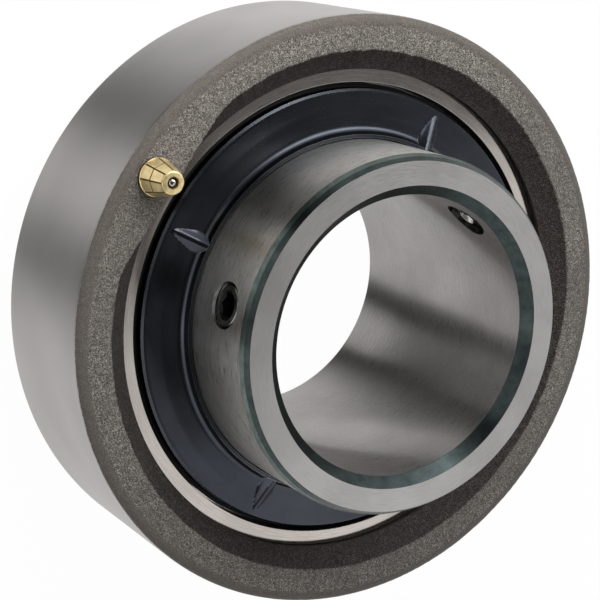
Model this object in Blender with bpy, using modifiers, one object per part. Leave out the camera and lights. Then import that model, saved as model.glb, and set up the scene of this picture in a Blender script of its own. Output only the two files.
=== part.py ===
"""A self-aligning ball bearing unit: a wide inner ring with set screws, in a cartridge housing.

The bearing's axis is +Z, with the set screw side up. The unit stands on the inner ring's rear
face, and the origin is on the axis at that face. Every piece is modelled round the bearing's
centre, where the ball circle and the centre of the spherical seat meet, and is parented to an
empty there. Angles are counted about +Z from +X.
"""
import math

import bmesh
import bpy
from mathutils import Matrix, Vector

MM = 0.001

# Radial sizes, from the bore outwards
BORE_D = 60.0 * MM
INNER_GROOVE_WALL = 5.06 * MM       # steel between the bore and the foot of the inner raceway
BALL_D = 15.875 * MM
OUTER_GROOVE_WALL = 4.06 * MM       # steel between the outer raceway and the spherical outside
HOUSING_WALL = 9.7 * MM             # iron between the seat's widest circle and the outside
INNER_SHOULDER_H = 3.44 * MM        # height of the inner ring's shoulders above its raceway's foot
OUTER_SHOULDER_H = 2.94 * MM        # height of the outer ring's shoulders above its raceway's foot

# Axial sizes, from the ball circle outwards
CAGE_SEAL_GAP = 0.5625 * MM         # free space between the cage and a seal
SEAL_SPACE = 1.9 * MM               # depth that a seal takes up in the outer ring's counterbore
FACE_LEDGE = 2.0 * MM               # counterbore left over between a seal and the ring's face
RECESS_DEPTH = 5.5 * MM             # how far the outer ring's face lies below the housing's face
FRONT_PROUD = 20.7 * MM             # inner ring in front of the housing
REAR_PROUD = 6.4 * MM               # inner ring behind the housing

# Clearances
BALL_GAP = 0.3 * MM                 # ball to raceway
POCKET_GAP = 0.4 * MM               # ball to cage pocket
SEAT_GAP = 0.3 * MM                 # outer ring to its spherical seat
SLOT_GAP = 0.2 * MM                 # outer ring to the loading slots
FIT_GAP = 0.3 * MM                  # pressed, screwed or seated pieces, and seal lips

# Balls and cage
BALL_COUNT = 10
GROOVE_CONFORMITY = 0.525           # raceway groove radius over ball diameter
CAGE_T = 0.7 * MM
CAGE_WIDTH = 6.0 * MM               # radial width of the cage's ribbon
CAGE_BEND = 0.9 * MM                # bend between a pocket and the flat beside it
POCKET_SPAN = 80.0                  # how far down each side a pocket follows its ball, in degrees
RIVET_R = 0.8 * MM
RIVET_HEAD_R = 1.7 * MM
RIVET_HEAD_H = 0.8 * MM

# Inner ring
BORE_CHAMFER = 2.2 * MM
NOSE_CHAMFER_R = 1.25 * MM          # radial share of the front outside chamfer
NOSE_CHAMFER_Z = 2.2 * MM           # axial share of the same chamfer
TAIL_CHAMFER = 1.0 * MM

# Outer ring
RING_CORNER = 0.7 * MM
COUNTERBORE_DEPTH = 2.2 * MM        # counterbore's step outwards from the shoulder
GREASE_HOLE_R = 1.2 * MM
GREASE_HOLE_ANGLE = 90.0
GREASE_HOLE_COUNT = 2

# Housing
SEAT_OVERRUN = 1.7 * MM             # seat carries on this far past the outer ring's face
SEAT_SPARE = 0.5 * MM               # more of the seat's outline, which the recess cuts away
RECESS_FLARE = 4.35 * MM            # recess is this much wider at its mouth than at the seat
FRONT_ROUNDING = 2.2 * MM           # as-cast rounding of the front outside corner
REAR_CHAMFER = 1.9 * MM
GREASE_GROOVE_W = 4.0 * MM
GREASE_GROOVE_DEPTH = 2.0 * MM
SLOT_ANGLE = 90.0                   # loading slots, at this angle and opposite
LAND_EDGE = 1.3 * MM                # nipple land's edge, inwards of the seat's widest circle

# Grease nipple
NIPPLE_ANGLE = 150.5
NIPPLE_OUT = 3.42 * MM              # nipple's axis, outwards of the seat's widest circle
NIPPLE_TURN = 7.0                   # turn of the eight-sided head about its own axis
NIPPLE_SIDES = 8
NIPPLE_HOLE_END = 1.0 * MM          # hole's end above the grease groove's lower side
SHANK_R = 3.0 * MM
SHANK_LENGTH = 7.0 * MM
NIPPLE_COLLAR_R = 4.05 * MM
NIPPLE_COLLAR_H = 0.6 * MM
NIPPLE_FOOT_R = 4.15 * MM           # corner radius of the head at its foot
NIPPLE_WAIST_R = 3.6 * MM
NIPPLE_GROOVE_DEPTH = 0.4 * MM
NIPPLE_TIP_R = 2.75 * MM
NIPPLE_BASE_H = 3.2 * MM            # length of the head's lower block
NIPPLE_TOP_H = 3.6 * MM             # length of its upper block
NIPPLE_CAP_H = 0.4 * MM             # round end beyond the upper block
NIPPLE_BALL_R = 1.15 * MM
NIPPLE_CAVITY_R = 1.5 * MM
NIPPLE_MOUTH_R = 1.0 * MM
NIPPLE_SEAT_H = 0.9 * MM            # ball's seat above the ball's middle
NIPPLE_DUCT_R = 0.8 * MM
SPRING_WIRE_R = 0.15 * MM
SPRING_TURNS = 4
SPRING_FOOT = 2.9 * MM              # spring's lower end above the housing's face

# Locating pin
PIN_ANGLE = 0.0
PIN_LATITUDE = 11.5                 # how far below the ball circle the pin points, in degrees
PIN_R = 1.5 * MM
PIN_SUNK = 2.2 * MM                 # length of the pin inside the outer ring
PIN_PROUD = 1.5 * MM                # length outside it
TILT_LIMIT = 3.0                    # self-alignment each way, in degrees

# Seals and slingers
SEAL_BEAD_W = 2.4 * MM
SEAL_WEB_T = 0.7 * MM
SEAL_LIP_T = 0.5 * MM
SEAL_LIP_REACH = 1.5 * MM
SLINGER_T = 0.7 * MM
SLINGER_RIM_GAP = 1.1 * MM          # slinger's rim to the counterbore
SLINGER_RIM_H = 2.2 * MM
SLINGER_PROUD = 1.1 * MM            # slinger's flat in front of the outer ring's face
SLINGER_COLLAR_H = 2.6 * MM
SLINGER_BEND = 1.15 * MM
DART_COUNT = 4
DART_ANGLE = 68.4
DART_REACH = 7.5 * MM
DART_HALF_W = 2.6 * MM
DART_BELOW_COLLAR = 0.3 * MM        # dart's crest below the collar's edge
DART_BITE = 0.1 * MM                # how far a dart's edges lie inside the sheet
DART_DROP = 1.25                    # drop of the hollow under a dart, per sheet thickness

# Set screws
SCREW_ANGLES = (172.5, 52.5)
SCREW_FROM_FACE = 10.3 * MM
SCREW_R = 4.7 * MM
SCREW_MOUTH_CHAMFER = 0.45 * MM
SCREW_SUNK = 0.6 * MM               # outer end below the inner ring's outside
SCREW_TIP_BACK = 0.9 * MM           # point short of the bore
SCREW_TIP_R = 2.6 * MM
SCREW_TIP_TAPER = 1.7 * MM
SCREW_CUP_DEPTH = 0.8 * MM
SCREW_END_CHAMFER = 0.5 * MM
SOCKET_FLATS = 5.0 * MM
SOCKET_DEPTH = 3.4 * MM

# Facets round one turn
HOUSING_STEPS = 48
RING_STEPS = 44
SHEET_STEPS = 36
HOLE_STEPS = 16
SMALL_STEPS = 12
BALL_RINGS = 6
WELD_REACH = 0.005 * MM             # corners closer than this are made one

# Sizes that follow from the ones above
BORE_R = BORE_D / 2
BALL_R = BALL_D / 2
PITCH_R = BORE_R + INNER_GROOVE_WALL + BALL_R
SPHERE_R = PITCH_R + BALL_R + OUTER_GROOVE_WALL
SEAT_R = SPHERE_R + SEAT_GAP
HOUSING_R = SEAT_R + HOUSING_WALL
INNER_R = BORE_R + INNER_GROOVE_WALL + INNER_SHOULDER_H
OUTER_LAND_R = PITCH_R + BALL_R - OUTER_SHOULDER_H
COUNTERBORE_R = OUTER_LAND_R + COUNTERBORE_DEPTH
GROOVE_R = GROOVE_CONFORMITY * BALL_D

CAGE_TOP = BALL_R + POCKET_GAP + CAGE_T
SEAL_FOOT = CAGE_TOP + CAGE_SEAL_GAP
COUNTERBORE_Z = SEAL_FOOT - FIT_GAP
RING_HALF = SEAL_FOOT + SEAL_SPACE + FACE_LEDGE
HOUSING_HALF = RING_HALF + RECESS_DEPTH
SEAT_END = RING_HALF + SEAT_OVERRUN
INNER_FRONT = HOUSING_HALF + FRONT_PROUD
INNER_REAR = HOUSING_HALF + REAR_PROUD
GREASE_Z = (math.sqrt(GROOVE_R ** 2 - (GROOVE_R - OUTER_SHOULDER_H) ** 2) + COUNTERBORE_Z) / 2

SLINGER_MID_Z = RING_HALF + SLINGER_PROUD - SLINGER_T / 2
SLINGER_TOP_Z = SLINGER_MID_Z + SLINGER_T / 2 + SLINGER_COLLAR_H
SLINGER_COLLAR_R = INNER_R + FIT_GAP + SLINGER_T / 2
SLINGER_RIM_R = COUNTERBORE_R - SLINGER_RIM_GAP - SLINGER_T / 2

SCREW_HOLE_R = SCREW_R + FIT_GAP
SCREW_Z = INNER_FRONT - SCREW_FROM_FACE
NIPPLE_R = SEAT_R + NIPPLE_OUT
NIPPLE_HOLE_R = SHANK_R + FIT_GAP
NIPPLE_TOP = NIPPLE_BASE_H + NIPPLE_TOP_H + NIPPLE_COLLAR_H + NIPPLE_CAP_H + FIT_GAP
NIPPLE_BALL_Z = NIPPLE_TOP - NIPPLE_BALL_R
PIN_HOLE_R = PIN_R + FIT_GAP


def collection(name):
    """A new collection in the scene."""
    made = bpy.data.collections.new(name)
    bpy.context.scene.collection.children.link(made)
    return made


def material(name, colour, roughness, metallic):
    """A Principled material."""
    made = bpy.data.materials.new(name)
    made.use_nodes = True
    shader = made.node_tree.nodes["Principled BSDF"]
    shader.inputs["Base Color"].default_value = (*colour, 1.0)
    shader.inputs["Roughness"].default_value = roughness
    shader.inputs["Metallic"].default_value = metallic
    made.diffuse_color = (*colour, 1.0)
    return made


def polar(radius, angle, z=0.0):
    """A point at an angle in degrees round the bearing's axis."""
    turn = math.radians(angle)
    return Vector((radius * math.cos(turn), radius * math.sin(turn), z))


def place(obj, home, centre, mat=None):
    """Puts an object in its collection, under the bearing's centre."""
    home.objects.link(obj)
    obj.parent = centre
    if mat is not None:
        obj.data.materials.append(mat)
    return obj


def turned(name, profile, steps, closed=True):
    """An object turned about Z from (radius, z) points that run down the outer side."""
    points = [(radius, 0.0, z) for radius, z in profile]
    edges = [(i, i + 1) for i in range(len(points) - 1)]
    if closed:
        edges.append((len(points) - 1, 0))
    mesh = bpy.data.meshes.new(name)
    mesh.from_pydata(points, edges, [])
    obj = bpy.data.objects.new(name, mesh)
    lathe = obj.modifiers.new("Lathe", "SCREW")
    lathe.axis = "Z"
    lathe.angle = math.tau
    lathe.steps = steps
    lathe.render_steps = steps
    lathe.use_merge_vertices = True
    lathe.merge_threshold = 0.000001
    lathe.use_smooth_shade = True
    return obj


def mirrored(profile):
    """The same profile on the rear side of the ball circle."""
    return [(radius, -z) for radius, z in reversed(profile)]


def from_bmesh(name, shape):
    """An object from a bmesh, which is freed."""
    mesh = bpy.data.meshes.new(name)
    shape.to_mesh(mesh)
    shape.free()
    return bpy.data.objects.new(name, mesh)


def cylinder(name, radius, depth, steps, spot):
    """A plain cylinder, with its axis along Z before the matrix spot is applied."""
    shape = bmesh.new()
    bmesh.ops.create_cone(shape, cap_ends=True, segments=steps, radius1=radius, radius2=radius,
                          depth=depth, matrix=spot)
    return from_bmesh(name, shape)


def block(name, size, spot):
    """A box of the given size, with the matrix spot applied."""
    shape = bmesh.new()
    bmesh.ops.create_cube(shape, size=1.0, matrix=spot @ Matrix.Diagonal((*size, 1.0)))
    return from_bmesh(name, shape)


def boolean(obj, other, operation, home, centre):
    """A Boolean on obj with a helper object, which stays in the cutters' collection."""
    home.objects.link(other)
    other.parent = centre
    other.hide_render = True
    other.display_type = "WIRE"
    step = obj.modifiers.new(other.name, "BOOLEAN")
    step.operation = operation
    step.solver = "EXACT"
    step.object = other
    return step


def radial_spot(angle, radius, z, latitude=0.0):
    """A matrix whose Z axis points outwards along a radius, tipped down by the latitude."""
    turn = Matrix.Rotation(math.radians(angle), 4, "Z")
    lean = Matrix.Rotation(math.radians(90.0 + latitude), 4, "Y")
    return Matrix.Translation((0.0, 0.0, z)) @ turn @ lean @ Matrix.Translation((0.0, 0.0, radius))


def raceway(foot_r, side, land_r, points):
    """Raceway groove points from the front edge to the rear edge; side is 1 for an inner ring."""
    centre_r = foot_r + side * GROOVE_R
    half = math.acos((centre_r - land_r) / (side * GROOVE_R))
    found = []
    for i in range(points):
        angle = half * (1.0 - 2.0 * i / (points - 1))
        found.append((centre_r - side * GROOVE_R * math.cos(angle), GROOVE_R * math.sin(angle)))
    return found


def sphere_arc(radius, z_from, z_to, points):
    """Points on a sphere round the bearing's centre, between two heights."""
    start = math.asin(z_from / radius)
    end = math.asin(z_to / radius)
    angles = [start + (end - start) * i / (points - 1) for i in range(points)]
    return [(radius * math.cos(a), radius * math.sin(a)) for a in angles]


def make_housing(cutters, centre):
    """The cast cartridge housing, with its spherical seat open to both sides."""
    mouth_r = math.sqrt(SEAT_R ** 2 - SEAT_END ** 2) + RECESS_FLARE
    seat_top = SEAT_END + SEAT_SPARE
    groove_top = GREASE_Z + GREASE_GROOVE_W / 2
    groove_foot = GREASE_Z - GREASE_GROOVE_W / 2
    groove_r = math.sqrt(SEAT_R ** 2 - GREASE_Z ** 2) + GREASE_GROOVE_DEPTH
    corner = FRONT_ROUNDING * (1.0 - math.cos(math.pi / 4))
    profile = [
        (HOUSING_R - FRONT_ROUNDING, HOUSING_HALF),
        (HOUSING_R - corner, HOUSING_HALF - corner),
        (HOUSING_R, HOUSING_HALF - FRONT_ROUNDING),
        (HOUSING_R, -HOUSING_HALF + REAR_CHAMFER),
        (HOUSING_R - REAR_CHAMFER, -HOUSING_HALF),
        (mouth_r, -HOUSING_HALF),
    ]
    profile += sphere_arc(SEAT_R, -SEAT_END, groove_foot, 5)
    profile += [(groove_r, groove_foot), (groove_r, groove_top)]
    profile += sphere_arc(SEAT_R, groove_top, seat_top, 3)
    profile.append((math.sqrt(SEAT_R ** 2 - seat_top ** 2), HOUSING_HALF))
    housing = turned("housing", profile, HOUSING_STEPS)

    # The front recess flares out to its mouth, and stops short at the flat land under the nipple
    slope = RECESS_FLARE / (HOUSING_HALF - SEAT_END)
    top = HOUSING_HALF + RECESS_DEPTH
    foot = SEAT_END - RECESS_DEPTH
    recess = turned("cut_recess", [
        (0.0, top),
        (mouth_r + slope * (top - HOUSING_HALF), top),
        (mouth_r - slope * (HOUSING_HALF - foot), foot),
        (0.0, foot),
    ], HOUSING_STEPS, closed=False)
    land_size = (HOUSING_R, 2 * HOUSING_R, 4 * RECESS_DEPTH)
    land_spot = Matrix.Rotation(math.radians(NIPPLE_ANGLE), 4, "Z")
    land_spot = land_spot @ Matrix.Translation((SEAT_R - LAND_EDGE + land_size[0] / 2, 0.0, HOUSING_HALF))
    boolean(recess, block("cut_land", land_size, land_spot), "DIFFERENCE", cutters, centre)
    boolean(housing, recess, "DIFFERENCE", cutters, centre)

    # Nipple hole, down into the seat's grease groove
    hole_foot = groove_foot + NIPPLE_HOLE_END
    depth = HOUSING_HALF + RECESS_DEPTH - hole_foot
    spot = Matrix.Translation(polar(NIPPLE_R, NIPPLE_ANGLE, hole_foot + depth / 2))
    boolean(housing, cylinder("cut_nipple_hole", NIPPLE_HOLE_R, depth, SMALL_STEPS, spot),
            "DIFFERENCE", cutters, centre)

    # Two slots on the rear side, through which the outer ring is swung into the seat
    slot_r = SPHERE_R + SLOT_GAP
    slots = cylinder("cut_loading_slots", slot_r, HOUSING_HALF + RECESS_DEPTH, HOUSING_STEPS,
                     Matrix.Translation((0.0, 0.0, -(HOUSING_HALF + RECESS_DEPTH) / 2)))
    slot_size = (2 * HOUSING_R, 2 * RING_HALF + 2 * SEAT_GAP, 4 * HOUSING_HALF)
    slot_spot = Matrix.Rotation(math.radians(SLOT_ANGLE), 4, "Z")
    boolean(slots, block("cut_slot_width", slot_size, slot_spot), "INTERSECT", cutters, centre)
    boolean(housing, slots, "DIFFERENCE", cutters, centre)

    # Notch for the outer ring's locating pin, open to the rear
    pin_z = SPHERE_R * math.sin(math.radians(PIN_LATITUDE))
    swing = SPHERE_R * math.sin(math.radians(TILT_LIMIT))
    notch_top = -(pin_z - swing - PIN_HOLE_R - FIT_GAP)
    notch_depth = SPHERE_R + PIN_PROUD + FIT_GAP
    notch_size = (notch_depth, 2 * PIN_HOLE_R, HOUSING_HALF + RECESS_DEPTH + notch_top)
    notch_spot = Matrix.Rotation(math.radians(PIN_ANGLE), 4, "Z")
    notch_spot = notch_spot @ Matrix.Translation(
        (notch_depth / 2, 0.0, notch_top - notch_size[2] / 2))
    boolean(housing, block("cut_pin_notch", notch_size, notch_spot), "DIFFERENCE", cutters, centre)
    weld = housing.modifiers.new("Weld", "WELD")
    weld.merge_threshold = WELD_REACH
    return housing


def make_outer_ring(cutters, centre):
    """The outer ring: spherical outside, raceway inside, and a counterbore for each seal."""
    edge_z = RING_HALF - RING_CORNER
    edge_r = math.sqrt(SPHERE_R ** 2 - edge_z ** 2)
    profile = [(edge_r - RING_CORNER, RING_HALF)]
    profile += sphere_arc(SPHERE_R, edge_z, -edge_z, 5)
    profile += [
        (edge_r - RING_CORNER, -RING_HALF),
        (COUNTERBORE_R, -RING_HALF),
        (COUNTERBORE_R, -COUNTERBORE_Z),
        (OUTER_LAND_R, -COUNTERBORE_Z),
    ]
    profile += reversed(raceway(PITCH_R + BALL_R + BALL_GAP, -1, OUTER_LAND_R, 7))
    profile += [
        (OUTER_LAND_R, COUNTERBORE_Z),
        (COUNTERBORE_R, COUNTERBORE_Z),
        (COUNTERBORE_R, RING_HALF),
    ]
    ring = turned("outer_ring", profile, RING_STEPS)

    # Grease holes, in line with the groove of the seat
    for k in range(GREASE_HOLE_COUNT):
        angle = GREASE_HOLE_ANGLE + k * 360.0 / GREASE_HOLE_COUNT
        spot = radial_spot(angle, (OUTER_LAND_R + SPHERE_R) / 2, GREASE_Z)
        drill = cylinder(f"cut_grease_hole_{k + 1}", GREASE_HOLE_R, 2 * (SPHERE_R - OUTER_LAND_R),
                         SMALL_STEPS, spot)
        boolean(ring, drill, "DIFFERENCE", cutters, centre)

    # Blind hole for the locating pin, square to the spherical outside
    hole_foot = SPHERE_R - PIN_SUNK - FIT_GAP
    depth = SEAT_R + PIN_PROUD - hole_foot
    spot = radial_spot(PIN_ANGLE, hole_foot + depth / 2, 0.0, PIN_LATITUDE)
    boolean(ring, cylinder("cut_pin_hole", PIN_HOLE_R, depth, SMALL_STEPS, spot),
            "DIFFERENCE", cutters, centre)
    return ring


def make_inner_ring(cutters, centre):
    """The wide inner ring, with its raceway and two holes for the set screws."""
    profile = [
        (INNER_R - NOSE_CHAMFER_R, INNER_FRONT),
        (INNER_R, INNER_FRONT - NOSE_CHAMFER_Z),
    ]
    profile += raceway(PITCH_R - BALL_R - BALL_GAP, 1, INNER_R, 7)
    profile += [
        (INNER_R, -INNER_REAR + TAIL_CHAMFER),
        (INNER_R - TAIL_CHAMFER, -INNER_REAR),
        (BORE_R + BORE_CHAMFER, -INNER_REAR),
        (BORE_R, -INNER_REAR + BORE_CHAMFER),
        (BORE_R, INNER_FRONT - BORE_CHAMFER),
        (BORE_R + BORE_CHAMFER, INNER_FRONT),
    ]
    ring = turned("inner_ring", profile, RING_STEPS)
    wall = INNER_R - BORE_R
    mouth_r = SCREW_HOLE_R + SCREW_MOUTH_CHAMFER
    for k, angle in enumerate(SCREW_ANGLES):
        drill = turned(f"cut_screw_hole_{k + 1}", [
            (0.0, wall),
            (mouth_r + wall, wall),
            (SCREW_HOLE_R, -SCREW_MOUTH_CHAMFER),
            (SCREW_HOLE_R, -2 * wall),
            (0.0, -2 * wall),
        ], HOLE_STEPS, closed=False)
        drill.matrix_local = radial_spot(angle, INNER_R, SCREW_Z)
        boolean(ring, drill, "DIFFERENCE", cutters, centre)
    return ring


def make_balls(home, centre, mat):
    """The balls, evenly spaced on the pitch circle."""
    shape = bmesh.new()
    bmesh.ops.create_uvsphere(shape, u_segments=SMALL_STEPS, v_segments=BALL_RINGS, radius=BALL_R)
    mesh = bpy.data.meshes.new("ball")
    shape.to_mesh(mesh)
    shape.free()
    mesh.shade_smooth()
    mesh.materials.append(mat)
    for k in range(BALL_COUNT):
        ball = bpy.data.objects.new(f"ball_{k + 1:02d}", mesh)
        ball.location = polar(PITCH_R, k * 360.0 / BALL_COUNT)
        place(ball, home, centre)


def pocket_angle(radius, height, pocket_r):
    """Angle from a ball's middle at which its pocket sphere has the given height."""
    cosine = (radius ** 2 + PITCH_R ** 2 - pocket_r ** 2 + height ** 2) / (2 * radius * PITCH_R)
    return math.acos(min(1.0, cosine))


def ribbon_point(radius, station, half_stations, side):
    """A point of the cage's middle surface; station counts from a ball's middle either way."""
    pocket_r = BALL_R + POCKET_GAP + CAGE_T / 2
    flat_z = FIT_GAP / 2 + CAGE_T / 2
    crown_z = math.sqrt(pocket_r ** 2 - (radius - PITCH_R) ** 2)
    step = abs(station)
    arc_steps = half_stations - 2
    if step <= arc_steps:
        height = crown_z * math.cos(step / arc_steps * math.radians(POCKET_SPAN))
        angle = pocket_angle(radius, height, pocket_r)
    elif step == arc_steps + 1:
        height = flat_z
        angle = pocket_angle(radius, flat_z, pocket_r) + CAGE_BEND / radius
    else:
        height = flat_z
        angle = math.pi / BALL_COUNT
    return math.copysign(angle, station), side * height


def make_cage_half(name, side, cutters, centre):
    """One half of the pressed ribbon cage; side is 1 in front of the ball circle, -1 behind."""
    half_stations = 5
    columns = 2 * half_stations
    rows = 2
    shape = bmesh.new()
    bmesh.ops.create_grid(shape, x_segments=columns * BALL_COUNT, y_segments=rows, size=1.0)
    for vert in shape.verts:
        column = round((vert.co.x + 1.0) / 2.0 * columns * BALL_COUNT)
        across = vert.co.y / 2.0
        ball = (column + half_stations) // columns
        station = column - ball * columns
        radius = PITCH_R + across * CAGE_WIDTH
        angle, height = ribbon_point(radius, station, half_stations, side)
        angle += ball * math.tau / BALL_COUNT
        vert.co = (radius * math.cos(angle), radius * math.sin(angle), height)
    bmesh.ops.remove_doubles(shape, verts=shape.verts, dist=0.000001)
    half = from_bmesh(name, shape)
    shell = half.modifiers.new("Sheet", "SOLIDIFY")
    shell.thickness = CAGE_T
    shell.offset = 0.0
    shell.use_even_offset = True

    holes = bmesh.new()
    for k in range(BALL_COUNT):
        spot = Matrix.Translation(polar(PITCH_R, (k + 0.5) * 360.0 / BALL_COUNT, side * CAGE_T))
        bmesh.ops.create_cone(holes, cap_ends=True, segments=SMALL_STEPS // 2,
                              radius1=RIVET_R + FIT_GAP, radius2=RIVET_R + FIT_GAP,
                              depth=3 * CAGE_T, matrix=spot)
    boolean(half, from_bmesh(f"cut_rivets_{name}", holes), "DIFFERENCE", cutters, centre)
    return half


def make_rivets(home, centre, mat):
    """The cage's rivets, one between each pair of balls."""
    under_head = FIT_GAP + CAGE_T
    top = under_head + RIVET_HEAD_H
    half = [(0.0, top), (RIVET_HEAD_R - RIVET_HEAD_H, top), (RIVET_HEAD_R, under_head),
            (RIVET_R, under_head)]
    for k in range(BALL_COUNT):
        rivet = turned(f"rivet_{k + 1:02d}", half + mirrored(half), SMALL_STEPS // 2, closed=False)
        rivet.location = polar(PITCH_R, (k + 0.5) * 360.0 / BALL_COUNT)
        place(rivet, home, centre, mat)


def seal_profile():
    """Front seal: a rubber-faced disc pressed into the counterbore, with a lip on the inner ring."""
    outer = COUNTERBORE_R - FIT_GAP
    lip = INNER_R + FIT_GAP
    top = SEAL_FOOT + SEAL_SPACE - FIT_GAP
    web_foot = SEAL_FOOT + FIT_GAP
    web_top = web_foot + SEAL_WEB_T
    return [
        (outer, top),
        (outer, SEAL_FOOT),
        (outer - SEAL_BEAD_W, SEAL_FOOT),
        (outer - SEAL_BEAD_W - FIT_GAP, web_foot),
        (lip + SEAL_LIP_REACH, web_foot),
        (lip, top),
        (lip + SEAL_LIP_T, top),
        (lip + SEAL_LIP_REACH, web_top),
        (outer - SEAL_BEAD_W, web_top),
        (outer - SEAL_BEAD_W + FIT_GAP, top),
    ]


def add_dart(shape, angle, side, back):
    """Adds one dart's wedge to a bmesh: the hull of its tip, its two feet, its crest and its root."""
    root_r = SLINGER_COLLAR_R + DART_BITE - back
    flat_z = SLINGER_MID_Z + SLINGER_T / 2 - DART_BITE - DART_DROP * back
    crest_z = SLINGER_TOP_Z - DART_BELOW_COLLAR - DART_DROP * back
    corners = [
        (root_r + DART_REACH, 0.0, flat_z),
        (root_r, DART_HALF_W, flat_z),
        (root_r, -DART_HALF_W, flat_z),
        (root_r, 0.0, crest_z),
        (root_r, 0.0, flat_z - SLINGER_T / 2),
    ]
    turn = Matrix.Rotation(math.radians(angle), 4, "Z")
    verts = [shape.verts.new(turn @ Vector((x, y, side * z))) for x, y, z in corners]
    bmesh.ops.convex_hull(shape, input=verts)
    bmesh.ops.recalc_face_normals(shape, faces=shape.faces)


def make_slinger(name, side, cutters, centre):
    """A pressed slinger: rim, flat, collar on the inner ring, and darts that stiffen its bend."""
    profile = [
        (SLINGER_COLLAR_R, SLINGER_TOP_Z),
        (SLINGER_COLLAR_R, SLINGER_MID_Z + SLINGER_BEND),
        (SLINGER_COLLAR_R + SLINGER_BEND, SLINGER_MID_Z),
        (SLINGER_RIM_R - SLINGER_T, SLINGER_MID_Z),
        (SLINGER_RIM_R, SLINGER_MID_Z - SLINGER_T),
        (SLINGER_RIM_R, SLINGER_MID_Z + SLINGER_T / 2 - SLINGER_RIM_H),
    ]
    if side < 0:
        profile = mirrored(profile)
    slinger = turned(name, profile, SHEET_STEPS, closed=False)
    sheet = slinger.modifiers.new("Sheet", "SOLIDIFY")
    sheet.thickness = SLINGER_T
    sheet.offset = 0.0
    sheet.use_even_offset = True

    # Each dart is a wedge added on the outside, and the same wedge set back taken out of the inside
    ridges = bmesh.new()
    hollows = bmesh.new()
    for k in range(DART_COUNT):
        angle = DART_ANGLE + k * 360.0 / DART_COUNT
        add_dart(ridges, angle, side, 0.0)
        add_dart(hollows, angle, side, SLINGER_T)
    boolean(slinger, from_bmesh(f"add_darts_{name}", ridges), "UNION", cutters, centre)
    boolean(slinger, from_bmesh(f"cut_darts_{name}", hollows), "DIFFERENCE", cutters, centre)
    return slinger


def make_set_screw(name, angle, cutters, centre):
    """A socket set screw with a cup point, lying along a radius."""
    length = INNER_R - SCREW_SUNK - BORE_R - SCREW_TIP_BACK
    screw = turned(name, [
        (0.0, 0.0),
        (SCREW_R - SCREW_END_CHAMFER, 0.0),
        (SCREW_R, -SCREW_END_CHAMFER),
        (SCREW_R, -length + SCREW_TIP_TAPER),
        (SCREW_TIP_R, -length),
        (SCREW_TIP_R - SCREW_END_CHAMFER, -length),
        (0.0, -length + SCREW_CUP_DEPTH),
    ], HOLE_STEPS, closed=False)
    spot = radial_spot(angle, INNER_R - SCREW_SUNK, SCREW_Z)
    screw.matrix_local = spot
    socket_r = SOCKET_FLATS / 2 / math.cos(math.pi / 6)
    socket = cylinder(f"cut_socket_{name}", socket_r, 2 * SOCKET_DEPTH, 6, spot)
    boolean(screw, socket, "DIFFERENCE", cutters, centre)
    return screw


def make_nipple(cutters, centre):
    """The grease nipple's body: shank, collar, two-block eight-sided head, and a stepped duct."""
    foot = FIT_GAP
    block_foot = foot + NIPPLE_COLLAR_H
    waist = block_foot + NIPPLE_BASE_H
    tip = waist + NIPPLE_TOP_H
    groove_r = NIPPLE_WAIST_R - NIPPLE_GROOVE_DEPTH
    body = turned("grease_nipple", [
        (0.0, tip),
        (NIPPLE_TIP_R, tip),
        (NIPPLE_WAIST_R, waist + NIPPLE_GROOVE_DEPTH),
        (groove_r, waist),
        (NIPPLE_WAIST_R, waist - NIPPLE_GROOVE_DEPTH),
        (NIPPLE_FOOT_R, block_foot),
        (0.0, block_foot),
    ], NIPPLE_SIDES, closed=False)
    spot = Matrix.Translation(polar(NIPPLE_R, NIPPLE_ANGLE, HOUSING_HALF))
    body.matrix_local = spot @ Matrix.Rotation(math.radians(NIPPLE_TURN), 4, "Z")

    shank = turned("add_nipple_shank", [
        (0.0, block_foot + NIPPLE_COLLAR_H / 2),
        (NIPPLE_COLLAR_R, block_foot + NIPPLE_COLLAR_H / 2),
        (NIPPLE_COLLAR_R, foot),
        (SHANK_R, foot),
        (SHANK_R, -SHANK_LENGTH),
        (0.0, -SHANK_LENGTH),
    ], HOLE_STEPS, closed=False)
    cap = turned("add_nipple_cap", [
        (0.0, NIPPLE_TOP),
        (NIPPLE_TIP_R - NIPPLE_CAP_H, NIPPLE_TOP),
        (NIPPLE_TIP_R - NIPPLE_CAP_H / 2, NIPPLE_TOP - NIPPLE_CAP_H / 2),
        (NIPPLE_TIP_R - NIPPLE_CAP_H / 2, tip - NIPPLE_CAP_H),
        (0.0, tip - NIPPLE_CAP_H),
    ], HOLE_STEPS, closed=False)
    duct = turned("cut_nipple_duct", [
        (0.0, NIPPLE_TOP + NIPPLE_CAP_H),
        (NIPPLE_MOUTH_R, NIPPLE_TOP + NIPPLE_CAP_H),
        (NIPPLE_MOUTH_R, NIPPLE_BALL_Z + NIPPLE_SEAT_H),
        (NIPPLE_CAVITY_R, NIPPLE_BALL_Z + FIT_GAP),
        (NIPPLE_CAVITY_R, SPRING_FOOT - FIT_GAP),
        (NIPPLE_DUCT_R, SPRING_FOOT - 2 * FIT_GAP),
        (NIPPLE_DUCT_R, -SHANK_LENGTH - NIPPLE_CAP_H),
        (0.0, -SHANK_LENGTH - NIPPLE_CAP_H),
    ], SMALL_STEPS, closed=False)
    for helper, operation in ((shank, "UNION"), (cap, "UNION"), (duct, "DIFFERENCE")):
        helper.matrix_local = spot
        boolean(body, helper, operation, cutters, centre)
    return body


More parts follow.
